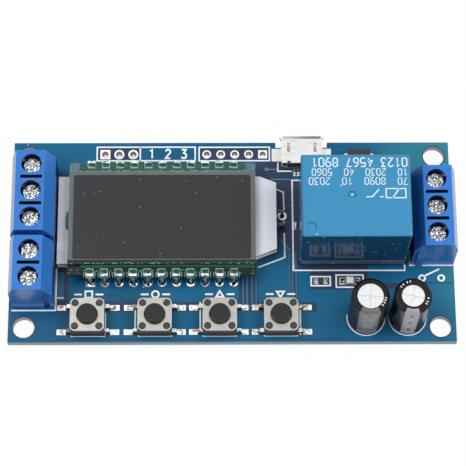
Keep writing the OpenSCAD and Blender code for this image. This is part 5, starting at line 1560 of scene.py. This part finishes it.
# %% Capacitor stripes
STRIPE_DEG = (268.0, 266.0)
STRIPE_HALF_DEG = (33.0, 23.0)
STRIPE_SHADES = ((104, 104, 107), (156, 157, 163))
STRIPE_UP = 0.012
STRIPE_T = 0.01
OPENING_R = 2.35
OPENING_GAP = 0.02
CAN_FOOT = 0.7
GROOVE = [(0.0, 1.2), (-0.35, 1.6875), (-0.35, 2.0125), (0.0, 2.5)]
RIM = [(0.0, -0.4), (-0.4, 0.0)]
LIP_R = (2.25, 1.97)
LIP_LAP = 0.1
LIP_SUNK = 0.005
LIP_T = 0.05

side_r = SLEEVE_R + STRIPE_UP
rim_z = can_high[2] + STRIPE_UP
profile = [(side_r, TOP + CAN_FOOT)]
profile += [(side_r + d, TOP + z) for d, z in GROOVE]
profile += [(side_r + d, rim_z + z) for d, z in RIM]
profile += [(OPENING_R + OPENING_GAP, rim_z)]
for i, (x, deg, half, shade) in enumerate(zip(can_x, STRIPE_DEG, STRIPE_HALF_DEG, STRIPE_SHADES), 1):
    stripe_ink = film(f"stripe ink {i}", shade, {"Drift": 0.3, "Drift Scale": 700.0}, Roughness=0.32)
    stripe = patch(profile, (x, can_y), deg - half, deg + half)
    add_piece(f"capacitor_stripe_{i}", [stripe], stripe_ink, STRIPE_T)
lips = [ring((x, can_y), inner, OPENING_R + LIP_LAP, rim_z - LIP_SUNK) for x, inner in zip(can_x, LIP_R)]
add_piece("sleeve_lips", lips, sleeve, LIP_T)

# %% Capacitor marks
MINUS_HALF_DEG = 5.0
MINUS_Z = (4.6, 8.0, 11.6)
MINUS_H = 0.9
MARK_UP = 0.01
TOP_MARKS_DEG = ((-8, -18, -28, -40), (142, 130, 112, 100, -10, -24, -34))
TOP_MARK_R = (2.42, 2.80)
TOP_MARK_W = 0.18

mark_ink = film("mark ink", (34, 34, 38), {"Drift": 0.2}, Roughness=0.32)
mark_r = side_r + MARK_UP
sheets = [patch([(mark_r, z), (mark_r, z + MINUS_H)], (x, can_y), deg - MINUS_HALF_DEG,
                deg + MINUS_HALF_DEG, 6) for x, deg in zip(can_x, STRIPE_DEG) for z in MINUS_Z]
add_piece("capacitor_marks", sheets, mark_ink, STRIPE_T)


def spoke(middle, inner, outer, deg):
    """A line along a radius, from one distance to another."""
    out = np.array([math.cos(math.radians(deg)), math.sin(math.radians(deg))])
    return [middle + inner * out, middle + outer * out]


sheets = [strip(spoke((x, can_y), *TOP_MARK_R, deg), TOP_MARK_W, rim_z + MARK_UP)
          for x, row in zip(can_x, TOP_MARKS_DEG) for deg in row]
add_piece("capacitor_top_marks", sheets, ink, STRIPE_T)

# %% Vent scores
VENT_TURN_DEG = (-4.0, -14.0)
VENT_HALF = 2.0
VENT_W = 0.10
VENT_UP = 0.01
VENT_T = 0.008

score = metal("vent score", (176, 176, 178), {"Drift": 0.6, "Roughness": 0.4})
vent_z = box_mm("capacitor_cans")[1][2] + VENT_UP
sheets = [strip(spoke((x, can_y), -VENT_HALF, VENT_HALF, deg + quarter), VENT_W, vent_z)
          for x, deg in zip(can_x, VENT_TURN_DEG) for quarter in (0, 90)]
add_piece("capacitor_vents", sheets, score, VENT_T)

# %% Relay print
INK_UP = 0.015
INK_T = 0.01
ROW_IN = 0.65
ROWS = [("0123 4567 8901", 1.6, 0.78, 0.22), ("10  2030  40  5060", 1.24, 2.79, 0.16),
        ("70  8090  10  2030", 1.28, 4.45, 0.16)]
COIL_IN = (4.4, 8.2)
COIL_SIZE = (3.4, 1.7)
COIL_SLASH = [(1.1, 0.0), (2.3, 1.7)]
CONTACT_BLADE = [(-3.4, 0.2), (-2.4, 0.2), (-1.2, 1.6)]
CONTACT_END = [(-1.1, 0.2), (-0.4, 0.2)]
SIGN_W = 0.22

relay_low, relay_high = box_mm("relay_cover")
relay_z = relay_high[2] + INK_UP
relay_ink = film("pale ink", (222, 238, 248), {"Drift": 0.2, "Drift Scale": 900.0}, Roughness=0.5)
sheets = []
for text, height, drop, weight in ROWS:
    sheets += write(text, height, relay_high[:2] - (ROW_IN, drop), weight, relay_z, turn=-1)
coil_low = relay_high[:2] - COIL_IN
sheets += [box_outline(coil_low, coil_low + COIL_SIZE, SIGN_W, relay_z)]
sheets += [strip(coil_low + np.array(path), SIGN_W, relay_z)
           for path in (COIL_SLASH, CONTACT_BLADE, CONTACT_END)]
add_piece("relay_print", sheets, relay_ink, INK_T)

# %% Relay gleams and painted shade
# The pale line along the cover's foot, the bead on its top edge and the spot in the dimple are painted
# highlights; the dark arcs round the dimple and the ejector mark are painted shade.
SEAM_UP = 0.25
SEAM_OUT = 0.012
SEAM_IN = 0.6
SEAM_H = 0.1
DIMPLE = (8.75, 7.6)
EJECTOR = (1.6, 1.6)
GLEAMS = [((2.55, 0.35), (0.2, 0.15), 0.06), (DIMPLE, (0.26, 0.26), 0.05)]
SHADES = [(DIMPLE, 0.64, -40, 220, 0.10), (EJECTOR, 0.93, -20, 150, 0.12)]

painted_gleam = film("rubbed moulding", (150, 206, 226), {"Drift": 0.3}, Roughness=0.3)
seam_y = relay_low[1] - SEAM_OUT
seam_z = relay_low[2] + SEAM_UP
seam_ends = [(relay_low[0] + SEAM_IN, seam_y), (relay_high[0] - SEAM_IN, seam_y)]
sheets = [wall(*seam_ends, seam_z, seam_z + SEAM_H)]
sheets += [dome(relay_low[:2] + place, half, rise, relay_z) for place, half, rise in GLEAMS]
add_piece("relay_gleams", sheets, painted_gleam, INK_T)
mark_shade = film("mark shade", (26, 84, 124), {"Drift": 0.2}, Roughness=0.3)
sheets = [strip(arc(relay_low[:2] + place, radius, start, end), width, relay_z)
          for place, radius, start, end, width in SHADES]
add_piece("relay_painted_shade", sheets, mark_shade, INK_T)
